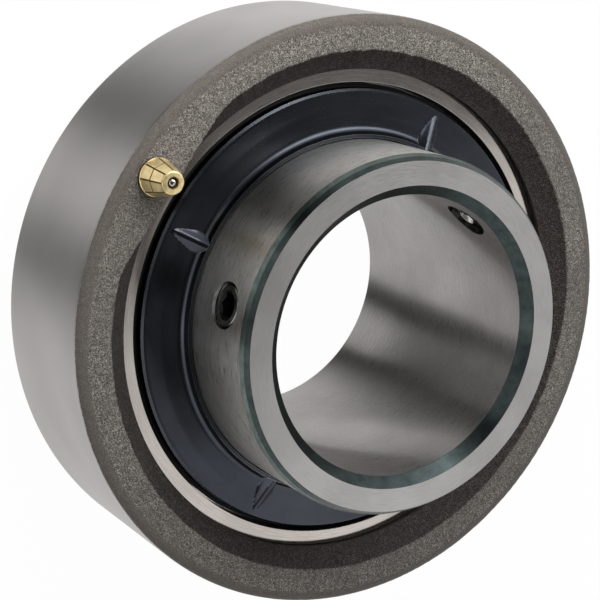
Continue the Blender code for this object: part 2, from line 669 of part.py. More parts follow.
def make_nipple_ball(home, centre, mat):
    """The check ball behind the nipple's mouth."""
    shape = bmesh.new()
    bmesh.ops.create_uvsphere(shape, u_segments=SMALL_STEPS, v_segments=BALL_RINGS, radius=NIPPLE_BALL_R)
    ball = from_bmesh("nipple_ball", shape)
    ball.data.shade_smooth()
    ball.location = polar(NIPPLE_R, NIPPLE_ANGLE, HOUSING_HALF + NIPPLE_BALL_Z)
    place(ball, home, centre, mat)


def make_nipple_spring(home, centre, mat):
    """The coil spring under the check ball."""
    points_per_turn = 8
    radius = NIPPLE_CAVITY_R - FIT_GAP - SPRING_WIRE_R
    reach = NIPPLE_BALL_R + FIT_GAP / 2 + SPRING_WIRE_R
    foot = SPRING_FOOT + SPRING_WIRE_R
    rise = NIPPLE_BALL_Z - math.sqrt(reach ** 2 - radius ** 2) - foot
    count = SPRING_TURNS * points_per_turn + 1
    curve = bpy.data.curves.new("nipple_spring", "CURVE")
    curve.dimensions = "3D"
    curve.bevel_depth = SPRING_WIRE_R
    curve.bevel_resolution = 2
    curve.use_fill_caps = True
    spline = curve.splines.new("POLY")
    spline.points.add(count - 1)
    for i in range(count):
        share = i / (count - 1)
        spot = polar(radius, 360.0 * SPRING_TURNS * share, foot + rise * share)
        spline.points[i].co = (*spot, 1.0)
    spring = bpy.data.objects.new("nipple_spring", curve)
    spring.location = polar(NIPPLE_R, NIPPLE_ANGLE, HOUSING_HALF)
    place(spring, home, centre, mat)


def make_pin(home, centre, mat):
    """The locating pin that keeps the outer ring from creeping round in its seat."""
    length = PIN_SUNK + PIN_PROUD
    pin = cylinder("locating_pin", PIN_R, length, SMALL_STEPS,
                   radial_spot(PIN_ANGLE, SPHERE_R - PIN_SUNK + length / 2, 0.0, PIN_LATITUDE))
    place(pin, home, centre, mat)


def main():
    for obj in list(bpy.data.objects):
        bpy.data.objects.remove(obj, do_unlink=True)
    parts = collection("ball_bearing_unit")
    cutters = collection("cutters")
    centre = bpy.data.objects.new("bearing_centre", None)
    centre.location = (0.0, 0.0, INNER_REAR)
    parts.objects.link(centre)

    cast_iron = material("housing_iron", (0.20, 0.19, 0.17), 0.6, 0.7)
    ground_outer = material("outer_ring_steel", (0.55, 0.52, 0.50), 0.3, 1.0)
    ground_inner = material("inner_ring_steel", (0.50, 0.48, 0.46), 0.25, 1.0)
    ball_steel = material("ball_steel", (0.70, 0.70, 0.72), 0.1, 1.0)
    cage_steel = material("cage_steel", (0.45, 0.45, 0.46), 0.4, 1.0)
    rivet_steel = material("rivet_steel", (0.55, 0.55, 0.56), 0.35, 1.0)
    seal_rubber = material("seal_rubber", (0.03, 0.03, 0.03), 0.7, 0.0)
    slinger_steel = material("slinger_steel", (0.05, 0.06, 0.08), 0.35, 0.8)
    screw_steel = material("set_screw_steel", (0.03, 0.03, 0.03), 0.4, 0.9)
    brass = material("nipple_brass", (0.80, 0.62, 0.28), 0.3, 1.0)
    spring_steel = material("spring_steel", (0.6, 0.6, 0.6), 0.3, 1.0)
    pin_steel = material("pin_steel", (0.5, 0.5, 0.5), 0.35, 1.0)

    place(make_housing(cutters, centre), parts, centre, cast_iron)
    place(make_nipple(cutters, centre), parts, centre, brass)
    make_nipple_ball(parts, centre, ball_steel)
    make_nipple_spring(parts, centre, spring_steel)
    make_pin(parts, centre, pin_steel)
    place(make_outer_ring(cutters, centre), parts, centre, ground_outer)
    place(make_inner_ring(cutters, centre), parts, centre, ground_inner)
    make_balls(parts, centre, ball_steel)
    place(make_cage_half("cage_front_half", 1, cutters, centre), parts, centre, cage_steel)
    place(make_cage_half("cage_rear_half", -1, cutters, centre), parts, centre, cage_steel)
    make_rivets(parts, centre, rivet_steel)
    place(turned("front_seal", seal_profile(), SHEET_STEPS), parts, centre, seal_rubber)
    place(turned("rear_seal", mirrored(seal_profile()), SHEET_STEPS), parts, centre, seal_rubber)
    place(make_slinger("front_slinger", 1, cutters, centre), parts, centre, slinger_steel)
    place(make_slinger("rear_slinger", -1, cutters, centre), parts, centre, slinger_steel)
    for k, angle in enumerate(SCREW_ANGLES):
        screw = make_set_screw(f"set_screw_{k + 1}", angle, cutters, centre)
        place(screw, parts, centre, screw_steel)


main()
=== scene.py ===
"""The ball bearing unit's looks: fine forms, finishes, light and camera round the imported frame."""
from math import acos, asin, ceil, cos, degrees, hypot, pi, radians, sin, sqrt, tan, tau

import bmesh
import bpy
from mathutils import Matrix, Vector, noise


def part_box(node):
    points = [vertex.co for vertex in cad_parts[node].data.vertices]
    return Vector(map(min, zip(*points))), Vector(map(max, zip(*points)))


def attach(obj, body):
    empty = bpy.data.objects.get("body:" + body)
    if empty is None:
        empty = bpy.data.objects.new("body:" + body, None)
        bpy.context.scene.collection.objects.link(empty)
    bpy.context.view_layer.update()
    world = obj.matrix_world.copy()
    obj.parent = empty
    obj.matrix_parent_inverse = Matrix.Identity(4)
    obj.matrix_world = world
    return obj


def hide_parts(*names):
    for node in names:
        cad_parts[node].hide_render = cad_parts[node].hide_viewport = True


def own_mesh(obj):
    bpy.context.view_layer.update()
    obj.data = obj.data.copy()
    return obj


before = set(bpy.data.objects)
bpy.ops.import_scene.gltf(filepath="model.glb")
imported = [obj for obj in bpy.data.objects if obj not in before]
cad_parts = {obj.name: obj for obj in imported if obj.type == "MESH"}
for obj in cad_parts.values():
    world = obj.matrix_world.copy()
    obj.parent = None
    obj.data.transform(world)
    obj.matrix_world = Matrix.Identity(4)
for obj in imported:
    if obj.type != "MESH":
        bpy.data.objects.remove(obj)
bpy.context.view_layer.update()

MM = 0.001

# Sizes read from the frame. Heights are counted from the ball circle, at CENTRE_Z
HOUSING_LOW, HOUSING_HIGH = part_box("housing")
HOUSING_R = HOUSING_HIGH.x
HOUSING_HALF = (HOUSING_HIGH.z - HOUSING_LOW.z) / 2
CENTRE_Z = (HOUSING_HIGH.z + HOUSING_LOW.z) / 2
OUTER_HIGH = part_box("outer_ring")[1]
SPHERE_R = OUTER_HIGH.x
RING_HALF = OUTER_HIGH.z - CENTRE_Z
INNER_LOW, INNER_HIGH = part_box("inner_ring")
INNER_R = INNER_HIGH.x
INNER_FRONT = INNER_HIGH.z - CENTRE_Z
INNER_REAR = CENTRE_Z - INNER_LOW.z
BALL_LOW, BALL_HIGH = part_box("ball_01")
BALL_R = (BALL_HIGH.z - BALL_LOW.z) / 2
PITCH_R = (BALL_HIGH.x + BALL_LOW.x) / 2
BALL_COUNT = 10

# Housing
SEAT_R = SPHERE_R + 0.3 * MM
SEAT_END = RING_HALF + 1.7 * MM
RECESS_FLARE = 4.35 * MM
CORNER_R = 2.4 * MM  # cast corner, across the face
CORNER_Z = 2.1 * MM  # and along the axis
CORNER_BULGE = 0.85  # 1 is an ellipse; less is fuller
REAR_CHAMFER = 1.9 * MM
GROOVE_Z = 7.82 * MM  # grease groove in the seat
GROOVE_W = 4.0 * MM
GROOVE_DEPTH = 2.0 * MM
LAND_R = SEAT_R - 1.3 * MM  # straight edge of the flat under the nipple
LAND_BLEND = 1.2 * MM  # its soft change into the round mouth
LIP = 0.2 * MM  # rounding of the recess's mouth
MOUTH_WAVER = 0.28 * MM  # unevenness of the mouth's cast edge
CORNER_DENT = 0.05 * MM  # and of the cast corner
SLOT_R = SPHERE_R + 0.2 * MM  # slots at the rear, where the ring goes in edgewise
SLOT_W = 2 * RING_HALF + 0.6 * MM
NOTCH_R = SPHERE_R + 1.8 * MM  # notch of the locating pin
NOTCH_W = 3.6 * MM
NOTCH_TOP = -5.7 * MM
PAST = 2.5 * MM  # how far a cutter runs past the face it opens

# Inner ring
BORE_R = 30.0 * MM
BORE_CHAMFER = 2.2 * MM
NOSE_CHAMFER_R = 1.25 * MM
NOSE_CHAMFER_Z = 2.2 * MM
NOSE_CREST_R = 0.50 * MM  # the chamfer's crest, in from the outside
NOSE_CREST_Z = 1.15 * MM  # and back from the face
TAIL_CHAMFER = 1.0 * MM
BROKEN_EDGE = 0.12 * MM  # rounding where a chamfer meets a ground face
GROOVE_CONFORMITY = 0.525  # raceway radius as a share of the ball's diameter
BALL_GAP = 0.3 * MM

# Outer ring
RING_CORNER = 0.7 * MM
OUTER_LAND_R = PITCH_R + BALL_R - 2.94 * MM
COUNTERBORE_R = OUTER_LAND_R + 2.2 * MM
COUNTERBORE_Z = 9.3 * MM
GREASE_HOLE_R = 1.2 * MM
PIN_HOLE_R = 1.8 * MM
PIN_LATITUDE = 11.5  # degrees of the pin below the ball circle

# Slingers
SHEET_T = 0.7 * MM
COLLAR_R = INNER_R + 0.3 * MM + SHEET_T / 2
SLINGER_MID_Z = RING_HALF + 1.1 * MM - SHEET_T / 2
SLINGER_DISH = 0.15 * MM  # rise of the flat from the rim to the dish
DISH_W = 5.5 * MM  # width of the dish round the collar
DISH_RISE = 0.55 * MM  # rise from the flat to the collar's bend
DISH_BLEND = 12.0 * MM  # rounding between the flat and the dish
COLLAR_TOP = SLINGER_MID_Z + SHEET_T / 2 + 2.6 * MM
RIM_R = COUNTERBORE_R - 1.1 * MM - SHEET_T / 2
RIM_FOOT = SLINGER_MID_Z + SHEET_T / 2 - 2.2 * MM
COLLAR_BEND = 2.1 * MM
RIM_BEND = 0.55 * MM
CUT_EDGE = 0.12 * MM  # rounding of the sheet's cut edges
SHEET_STEP = 0.34 * MM  # spacing of the section's points
DART_COUNT = 4
DART_ANGLE = 68.4
DART_REACH = 7.9 * MM
DART_HALF_W = 3.1 * MM
DART_CREST_W = 0.32 * MM
DART_TOP = COLLAR_TOP - 0.35 * MM
DART_FINE = 6.0  # degrees of fine mesh each side of a dart
DART_STEP = 0.25  # and that mesh's step
COARSE_STEPS = 20  # steps from there to halfway between darts

# Set screws
SCREW_ANGLES = (172.5, 52.5)
SCREW_Z = INNER_FRONT - 10.3 * MM
SCREW_R = 4.62 * MM
SCREW_HOLE_R = 4.75 * MM
SCREW_MOUTH = 0.45 * MM  # countersink of the screw's hole
SCREW_SUNK = 0.45 * MM
SCREW_SHORT = 0.2 * MM  # how far its point stays short of the bore
THREAD_PITCH = 1.0 * MM
THREAD_DEPTH = 0.4 * MM
CREST_HALF = 0.08 * THREAD_PITCH  # half the width of a thread's crest
SOCKET_FLATS = 5.0 * MM
SOCKET_DEPTH = 3.4 * MM
SHOULDER_R = 3.2 * MM  # where the thread gives way to the cone
SHOULDER_CONE = 0.45 * MM  # what the cone's bright edge takes off it
SHOULDER_Z = 1.55 * MM  # the shoulder's height above the point
TIP_R = 1.65 * MM  # rim of the cup at the point

# Grease nipple, with heights above the housing's face
NIPPLE_ANGLE = 150.5
NIPPLE_R = SEAT_R + 3.42 * MM
NIPPLE_HOLE_R = 3.3 * MM
NIPPLE_TURN = 4.5  # turn of its flats, in degrees
NIPPLE_FOOT = 0.3 * MM
NIPPLE_BLOCK_FOOT = 0.9 * MM
NIPPLE_WAIST = 4.2 * MM
NIPPLE_TIP = 7.7 * MM  # top of its flats
NIPPLE_TOP = 8.1 * MM
FLAT_GROOVE_HALF = 0.17 * MM  # groove between two flats
FLAT_GROOVE_DEPTH = 0.24 * MM
SPRING_WIRE_R = 0.15 * MM
SPRING_TURNS = 4

ROUND = 288  # steps round a large turned piece
FINE_HOLE = 48  # steps round a small one
SMALL_HOLE = 24  # steps round a hidden hole or a turn of the spring
CAST_STEPS = 720  # steps round the housing and its uneven edges

# Finishes
ACROSS = 0.25  # quarter turn: shine spreads across the lines
EDGE_W = 0.10 * MM  # width of a painted edge highlight
LINE_DEPTH = 0.0016 * MM  # depth of the lines of grinding
SPECK = (0.03, 0.03, 0.03)  # specks on the ground outside
FOOT_SHADE = (RING_HALF + 2.0 * MM, INNER_FRONT - 3.0 * MM, 157.0)  # heights of the painted shade near the slinger, and the angle of the side it leaves lit
WHITE = (1.0, 1.0, 1.0, 1.0)
BLACK = (0.0, 0.0, 0.0, 1.0)

# Camera, fitted to the rings' edges in the photograph
CAMERA_SPOT = Vector((-0.20947, 0.07447, 0.36489))
CAMERA_LOOK = Vector((0.51070, -0.18511, -0.83960))
CAMERA_UP = Vector((0.0, 0.97655, -0.21530))
CAMERA_LENS = 108.23

# Lamps: name, place, width, height, power, and whether reflections show it
LAMPS = (
    ("key", (0.32, 0.64, 0.70), 0.95, 0.38, 4.4, True),
    ("top", (-0.06, 0.20, 0.18), 0.16, 0.16, 0.62, False),
    ("fill", (-0.85, -0.15, 0.45), 0.5, 0.5, 0.8, True),
)
LAMP_TARGET = Vector((0.0, 0.0, 0.03))
WORLD_TINT = (0.95, 0.97, 1.0, 1.0)
WORLD_LIGHT = 0.27  # its brightness on surfaces
FLOOR_HALF = 3.0
FLOOR_GLOW = 0.98  # share of white in the floor as seen

# The studio in reflections: its brightness by direction in degrees round the object, with two
# dark flags, and grey boards with their brightness, height and outline
STUDIO_TONES = (
    (0.0, 1.0), (86.0, 1.0), (98.0, 0.85), (108.0, 0.50), (117.0, 0.14), (124.0, 0.03),
    (133.5, 0.03), (136.0, 0.90), (150.0, 0.96), (163.0, 0.94), (172.0, 0.62), (179.0, 0.08),
    (193.0, 0.02), (196.0, 0.90), (206.0, 0.95), (233.0, 1.0), (360.0, 1.0),
)
BOARDS = (
    ("board_above_left", 0.07, 1.0, (
        (-0.80, -0.80), (0.26, -0.80), (0.38, -0.26), (0.42, -0.19), (0.46, -0.175),
        (0.46, 0.40), (-0.80, 0.40),
    )),
    ("board_above_right", 0.17, 1.0, (
        (0.46, -0.175), (0.73, -0.07), (0.95, 0.0), (0.95, 0.40), (0.46, 0.40),
    )),
    ("board_under_bore", 0.04, 0.0002, (
        (-0.012, -0.0048), (0.0135, -0.0048), (0.017, 0.0), (0.017, 0.008), (0.014, 0.018),
        (0.004, 0.022), (-0.010, 0.020), (-0.020, 0.010),
    )),
)


def polar(radius, angle, z=0.0):
    """A point at an angle in degrees round the axis, above the ball circle by z."""
    turn = radians(angle)
    return Vector((radius * cos(turn), radius * sin(turn), CENTRE_Z + z))


def rounded(corners, steps):
    """Points of a line of (radius, z, rounding) corners. Its two ends have no rounding."""
    points = []
    for k, (radius, z, rounding) in enumerate(corners):
        here = Vector((radius, z))
        if rounding == 0:
            points.append(here)
            continue
        before = (Vector(corners[k - 1][:2]) - here).normalized()
        after = (Vector(corners[k + 1][:2]) - here).normalized()
        half = before.angle(after) / 2
        middle = here + (before + after).normalized() * rounding / sin(half)
        start = here + before * rounding / tan(half) - middle
        end = here + after * rounding / tan(half) - middle
        sweep = start.angle(end)
        side = 1 if start.x * end.y - start.y * end.x > 0 else -1
        for i in range(steps + 1):
            turn = Matrix.Rotation(side * sweep * i / steps, 2)
            points.append(middle + turn @ start)
    return points


def arc(radius, start, end, steps):
    """Points of an arc, with its angles in degrees from outwards."""
    turns = [radians(start + (end - start) * i / steps) for i in range(steps + 1)]
    return [Vector((radius * cos(turn), radius * sin(turn))) for turn in turns]


def sphere(radius, z_from, z_to, steps):
    """Points on a sphere round the centre, between two heights."""
    start, end = (degrees(asin(z / radius)) for z in (z_from, z_to))
    return arc(radius, start, end, steps)


def softly_least(a, b, blend):
    """The smaller of two numbers, with a rounded change-over."""
    near = max(blend - abs(a - b), 0.0) / blend
    return min(a, b) - near * near * blend / 4


def waver(angle, seed, grain):
    """Smooth unevenness of about -1 to 1 round a full turn."""
    turn = radians(angle)
    spot = Vector((cos(turn) * grain, sin(turn) * grain, seed))
    return 0.7 * noise.noise(spot) + 0.5 * noise.noise(spot * 6.0) + 0.9 * noise.noise(spot * 22.0)


def fit(thing, **settings):
    """Sets a thing's properties."""
    for name, value in settings.items():
        setattr(thing, name, value)
    return thing


def add(name, data):
    """A new object in the scene."""
    obj = bpy.data.objects.new(name, data)
    bpy.context.scene.collection.objects.link(obj)
    return obj


def from_bmesh(name, shape):
    """An object with the shape's mesh."""
    mesh = bpy.data.meshes.new(name)
    shape.to_mesh(mesh)
    shape.free()
    return add(name, mesh)


def ring_grid(name, sections, angles, closed=True):
    """A round mesh from one section of (radius, z) points at each angle."""
    shape = bmesh.new()
    rows = []
    for angle, section in zip(angles, sections):
        rows.append([shape.verts.new(polar(radius, angle, z)) for radius, z in section])
    count = len(rows[0])
    for here, after in zip(rows, rows[1:] + rows[:1]):
        for i in range(count if closed else count - 1):
            j = (i + 1) % count
            shape.faces.new((here[i], here[j], after[j], after[i]))
    return from_bmesh(name, shape)


def turned(name, profile, steps, spot=None):
    """A turned piece from (radius, z) points that run down its outer side, placed by a matrix.

    The points join up, unless they start on the axis."""
    points = [(p[0], 0.0, p[1]) for p in profile]
    edges = [(i, i + 1) for i in range(len(points) - 1)]
    if points[0][0] > 0.0:
        edges.append((len(points) - 1, 0))
    mesh = bpy.data.meshes.new(name)
    mesh.from_pydata(points, edges, [])
    obj = add(name, mesh)
    fit(obj.modifiers.new("Lathe", "SCREW"), steps=steps, render_steps=steps,
        use_merge_vertices=True, merge_threshold=0.0000005)
    obj.matrix_world = Matrix.Translation((0, 0, CENTRE_Z)) if spot is None else spot
    return obj


def block(name, size, spot):
    """A plain block, used as a cutter."""
    shape = bmesh.new()
    bmesh.ops.create_cube(shape, size=1.0, matrix=Matrix.Diagonal((*size, 1.0)))
    obj = from_bmesh(name, shape)
    obj.matrix_world = spot
    return obj


def plug(name, radius, length, spot, steps=FINE_HOLE):
    """A plain cylinder round the spot, used as a cutter."""
    half = length / 2
    profile = [(0.0, half), (radius, half), (radius, -half), (0.0, -half)]
    return turned(name, profile, steps, spot)


def boolean(obj, other, operation="DIFFERENCE"):
    """A Boolean with a helper object, which settle() removes."""
    step = obj.modifiers.new(other.name, "BOOLEAN")
    fit(step, operation=operation, solver="EXACT", object=other)


def apply(obj):
    """Applies an object's modifiers."""
    bpy.context.view_layer.update()
    graph = bpy.context.evaluated_depsgraph_get()
    mesh = bpy.data.meshes.new_from_object(obj.evaluated_get(graph))
    obj.modifiers.clear()
    obj.data = mesh


def settle(obj, sharp=30.0, weigh=False):
    """Applies the modifiers, removes the helpers and smooths the mesh between sharp edges.

    With weigh, large faces keep their own direction beside small roundings."""
    helpers = [step.object for step in obj.modifiers if step.type == "BOOLEAN"]
    apply(obj)
    for helper in helpers:
        bpy.data.objects.remove(helper)
    obj.data.shade_smooth()
    obj.data.set_sharp_from_angle(angle=radians(sharp))
    if weigh:
        fit(obj.modifiers.new("Normals", "WEIGHTED_NORMAL"), keep_sharp=True)
        apply(obj)
    return obj


def finish_faces(obj, looks, choose):
    """Gives each face the look that choose(radius, z, normal) numbers."""
    mesh = obj.data
    mesh.materials.clear()
    for look in looks:
        mesh.materials.append(look)
    place = obj.matrix_world
    for face in mesh.polygons:
        middle = place @ face.center
        normal = place.to_3x3() @ face.normal
        face.material_index = choose(hypot(middle.x, middle.y), middle.z - CENTRE_Z, normal)


def radial_spot(angle, radius, z, latitude=0.0):
    """A matrix whose Z axis points outwards along a radius, tipped down by the latitude."""
    turn = Matrix.Rotation(radians(angle), 4, "Z")
    lean = Matrix.Rotation(radians(90.0 + latitude), 4, "Y")
    lift = Matrix.Translation((0, 0, CENTRE_Z + z))
    return lift @ turn @ lean @ Matrix.Translation((0, 0, radius))


class Nodes:
    """Short ways to build a node tree."""

    def __init__(self, tree):
        self.tree = tree

    def put(self, socket, value):
        """Links a socket to another one, or sets its value."""
        if isinstance(value, bpy.types.NodeSocket):
            self.tree.links.new(value, socket)
        else:
            socket.default_value = value

    def node(self, kind, values=(), **settings):
        """A node with settings, and values or links for its inputs in order."""
        made = fit(self.tree.nodes.new("ShaderNode" + kind), **settings)
        for socket, value in zip(made.inputs, values):
            if value is not None:
                self.put(socket, value)
        return made

    def math(self, operation, *values):
        """One Math node's result."""
        return self.node("Math", values, operation=operation).outputs[0]

    def times(self, a, b):
        """A product."""
        return self.math("MULTIPLY", a, b)

    def weighed(self, a, share, b):
        """A mean of two values, with a's share."""
        return self.math("ADD", self.times(a, share), self.times(b, 1.0 - share))


class Look(Nodes):
    """A node material round one Principled shader. Brushed is how far its shine spreads across
    marks that run round the Z axis."""

    def __init__(self, name, colour, roughness, metallic=0.0, brushed=None):
        self.material = bpy.data.materials.new(name)
        self.material.use_nodes = True
        self.material.diffuse_color = (*colour, 1.0)
        super().__init__(self.material.node_tree)
        self.shader = self.tree.nodes["Principled BSDF"]
        self.set("Base Color", (*colour, 1.0))
        self.set("Roughness", roughness)
        self.set("Metallic", metallic)
        if brushed:
            self.set("Anisotropic", brushed)
            self.set("Anisotropic Rotation", ACROSS)
            self.set("Tangent", self.node("Tangent", direction_type="RADIAL", axis="Z").outputs[0])

    def set(self, name, value):
        """Sets or links one of the shader's inputs."""
        self.put(self.shader.inputs[name], value)

    def range(self, value, low, high, to_low=0.0, to_high=1.0):
        """The value carried from one range to another, smoothly and clamped."""
        ends = (value, low, high, to_low, to_high)
        return self.node("MapRange", ends, interpolation_type="SMOOTHSTEP").outputs[0]

    def here(self):
        """The point's own place on its piece."""
        return self.node("TexCoord").outputs["Object"]

    def place(self):
        """That place as x, y, z and the distance from the Z axis."""
        x, y, z = self.node("SeparateXYZ", (self.here(),)).outputs
        return x, y, z, self.math("SQRT", self.math("ADD", self.times(x, x), self.times(y, y)))

    def noise(self, size, detail=2.0, roughness=0.5):
        """Noise between 0 and 1 with grains of the given size."""
        return self.node("TexNoise", (self.here(), None, 1 / size, detail, roughness)).outputs[0]

    def grind(self, size, length):
        """Noise drawn out round the Z axis, as grinding or turning leaves it."""
        x, y, z, radius = self.place()
        along = self.node("CombineXYZ", (
            self.math("DIVIDE", radius, size),
            self.math("DIVIDE", z, size),
            self.times(self.math("DIVIDE", x, radius), length),
        )).outputs[0]
        across = self.times(self.math("DIVIDE", y, radius), length)
        node = self.node("TexNoise", (along, across, 1.0, 3.0, 0.6), noise_dimensions="4D")
        return node.outputs[0]

    def mix(self, factor, a, b):
        """A mix of two colours."""
        node = self.node("Mix", data_type="RGBA")
        self.put(node.inputs[0], factor)
        for socket, colour in ((node.inputs[6], a), (node.inputs[7], b)):
            self.put(socket, (*colour, 1.0) if isinstance(colour, tuple) else colour)
        return node.outputs[2]

    def grains(self, value, low, high, dark, mid, light):
        """Dark to mid colour over the low range of a value, and on to light over the high one."""
        base = self.mix(self.range(value, *low), dark, mid)
        return self.mix(self.range(value, *high), base, light)

    def shade(self, colour, value, low, high):
        """A colour made darker or lighter by a value from 0 to 1."""
        light = tuple(min(1.0, c * high) for c in colour)
        return self.mix(value, tuple(c * low for c in colour), light)

    def edge_paint(self, base, width, share, colour):
        """The base with a share of another colour painted along its edges, lighter as a painted
        highlight, darker as painted shade.
        """
        bevel = self.node("Bevel", (width,), samples=6).outputs[0]
        normal = self.node("NewGeometry").outputs["Normal"]
        dot = self.node("VectorMath", (bevel, normal), operation="DOT_PRODUCT").outputs["Value"]
        return self.mix(self.times(self.range(dot, 1.0, 0.93), share), base, colour)

    def done(self, base, roughness, height, distance):
        """The material, with its colour, roughness and bump of the given height in metres."""
        node = self.node("Bump")
        for name, value in (("Height", height), ("Distance", distance), ("Strength", 1.0)):
            self.put(node.inputs[name], value)
        self.set("Base Color", base)
        self.set("Roughness", roughness)
        self.set("Normal", node.outputs[0])
        return self.material


def ground_steel(name, colour, roughness, anisotropic, foot_shade=None):
    """Ground bearing steel: fine lines round the axis, faint stains and a painted highlight along
    its edges.

    foot_shade is the height below which painted shade darkens the side next to the slinger, the
    height where it thins out, and the angle of the side it leaves lit."""
    look = Look(name, colour, roughness, 1.0, anisotropic)
    lines = look.grind(0.16 * MM, 14.0)
    tone = look.weighed(lines, 0.55, look.noise(14 * MM, 4.0))
    base = look.shade(colour, look.range(tone, 0.36, 0.64), 0.88, 1.12)
    # Painted shade: darker towards the slinger, thinning upwards, left off the side at the given
    # angle
    if foot_shade:
        low, high, side = foot_shade
        x, y, z, radius = look.place()
        lit_turn = radians(side)
        along = look.math("ADD", look.times(x, cos(lit_turn)), look.times(y, sin(lit_turn)))
        unshaded = look.range(look.math("DIVIDE", along, radius), 0.90, 0.985, 1.0, 0.1)
        shade_share = look.times(look.range(z, low, high, 1.0, 0.3), unshaded)
        base = look.mix(shade_share, base, tuple(c * 0.42 for c in colour))
    # Painted highlight along the edges
    bright = tuple(min(1.0, c * 1.35) for c in colour)
    rough = look.range(lines, 0.25, 0.75, roughness * 0.85, roughness * 1.2)
    return look.done(look.edge_paint(base, EDGE_W, 0.6, bright), rough, lines, LINE_DEPTH)


def oxide_steel(name, colour, roughness):
    """Turned, unground chamfer with its blue-green scale from hardening."""
    look = Look(name, colour, roughness, 1.0, 0.5)
    lines = look.grind(0.22 * MM, 20.0)
    tone = look.weighed(lines, 0.4, look.noise(3.0 * MM, 5.0, 0.65))
    base = look.shade(colour, look.range(tone, 0.3, 0.7), 0.65, 1.4)
    return look.done(base, roughness, lines, 0.003 * MM)


def wheel_marks(look):
    """Marks on the housing's ground outside: lines, clouding and a few dark specks."""
    lines = look.grind(0.20 * MM, 10.0)
    tone = look.weighed(lines, 0.4, look.noise(30 * MM))
    specks = look.range(look.noise(0.9 * MM), 0.24, 0.19)
    return lines, look.range(tone, 0.34, 0.66), look.times(specks, 0.7)


def housing_iron():
    """Grey cast iron: rough as cast on the faces, with painted shade on the corner and in the
    recess, ground at the border.
    """
    look = Look("housing_iron", (0.16, 0.15, 0.135), 0.6, 0.3)
    _, _, z, radius = look.place()
    pits = look.noise(1.1 * MM, 4.0, 0.6)
    skin = look.weighed(look.noise(0.25 * MM, 3.0, 0.65), 0.85, pits)
    patch = look.range(look.noise(16 * MM, 4.0), 0.35, 0.7)
    rough = look.grains(skin, (0.36, 0.52), (0.50, 0.67),
                        (0.030, 0.026, 0.022), (0.155, 0.141, 0.124), (0.47, 0.432, 0.39))
    rough = look.mix(look.times(patch, 0.3), rough, (0.10, 0.092, 0.083))

    # Painted shade: a darker band on the rounded corner, with a faint crease where it leaves the
    # flat face
    crease = HOUSING_R - CORNER_R
    into = look.math("ADD", radius, look.times(look.math("SUBTRACT", pits, 0.5), 0.9 * MM))
    corner_shade_band = look.range(into, crease - 0.25 * MM, crease + 0.35 * MM)
    corner = look.mix(look.range(skin, 0.34, 0.66), (0.085, 0.074, 0.064), (0.145, 0.127, 0.110))
    rough = look.mix(look.times(corner_shade_band, 0.9), rough, corner)

    # Painted shade inside the recess, below the face: darker and browner
    face = HOUSING_HALF + CENTRE_Z
    below = look.range(z, face - 0.08 * MM, face - 0.35 * MM)
    inside = look.range(radius, HOUSING_R - 3.5 * MM, HOUSING_R - 4.5 * MM)
    recess_shade = look.grains(skin, (0.36, 0.54), (0.52, 0.68),
                       (0.003, 0.003, 0.003), (0.046, 0.038, 0.034), (0.20, 0.17, 0.155))
    rough = look.mix(look.times(below, inside), rough, recess_shade)

    # An uneven border where the grinding wheel runs out into the cast corner
    uneven = look.math("SUBTRACT", look.noise(1.1 * MM, 4.0, 0.7), 0.5)
    edge = look.math("ADD", radius, look.times(uneven, 0.22 * MM))
    ground = look.range(edge, HOUSING_R - 0.16 * MM, HOUSING_R - 0.07 * MM)
    _, tone, specks = wheel_marks(look)
    smooth = look.mix(tone, (0.34, 0.325, 0.31), (0.42, 0.40, 0.385))
    smooth = look.mix(specks, smooth, SPECK)

    look.set("Metallic", look.range(ground, 0.0, 1.0, 0.3, 1.0))
    height = look.times(skin, look.range(ground, 0.0, 1.0, 1.0, 0.03))
    roughness = look.range(ground, 0.0, 1.0, 0.62, 0.34)
    return look.done(look.mix(ground, rough, smooth), roughness, height, 0.24 * MM)


def housing_ground():
    """The housing's outside, ground round the axis."""
    colour = (0.42, 0.405, 0.395)
    look = Look("housing_ground", colour, 0.44, 1.0, 0.75)
    lines, tone, specks = wheel_marks(look)
    base = look.mix(specks, look.shade(colour, tone, 0.92, 1.10), SPECK)
    return look.done(base, look.range(lines, 0.25, 0.75, 0.40, 0.48), lines, LINE_DEPTH)


def slinger_steel():
    """Pressed sheet with a satin blue-black coat, with a painted highlight along its edges."""
    colour = (0.056, 0.062, 0.074)
    look = Look("slinger_steel", colour, 0.34, 1.0)
    cloud = look.noise(11 * MM, 4.0, 0.6)
    base = look.shade(colour, look.range(cloud, 0.3, 0.7), 0.9, 1.12)
    # Painted highlight along the edges
    base = look.edge_paint(base, EDGE_W, 0.8, (0.50, 0.51, 0.53))
    grain = look.noise(0.35 * MM, 3.0, 0.6)
    tone = look.weighed(grain, 0.5, look.grind(0.5 * MM, 5.0))
    return look.done(base, look.range(tone, 0.3, 0.7, 0.22, 0.28), tone, 0.002 * MM)


def clouded(name, colour, roughness, metallic, cloud, shades, spread, marks, edge_paint=None):
    """Metal with clouding of one size, which shades its colour and spreads its roughness.

    Marks are the grain size, roughness and height of fine marks, and edge_paint is the width,
    share and colour painted along edges, a painted highlight on steel and painted shade on brass."""
    look = Look(name, colour, roughness, metallic)
    clouds = look.noise(cloud, 4.0, 0.6)
    base = look.shade(colour, look.range(clouds, 0.3, 0.7), *shades)
    if edge_paint:
        base = look.edge_paint(base, *edge_paint)
    rough = look.range(clouds, 0.3, 0.7, *[roughness * s for s in spread])
    size, unevenness, height = marks
    return look.done(base, rough, look.noise(size, 3.0, unevenness), height)


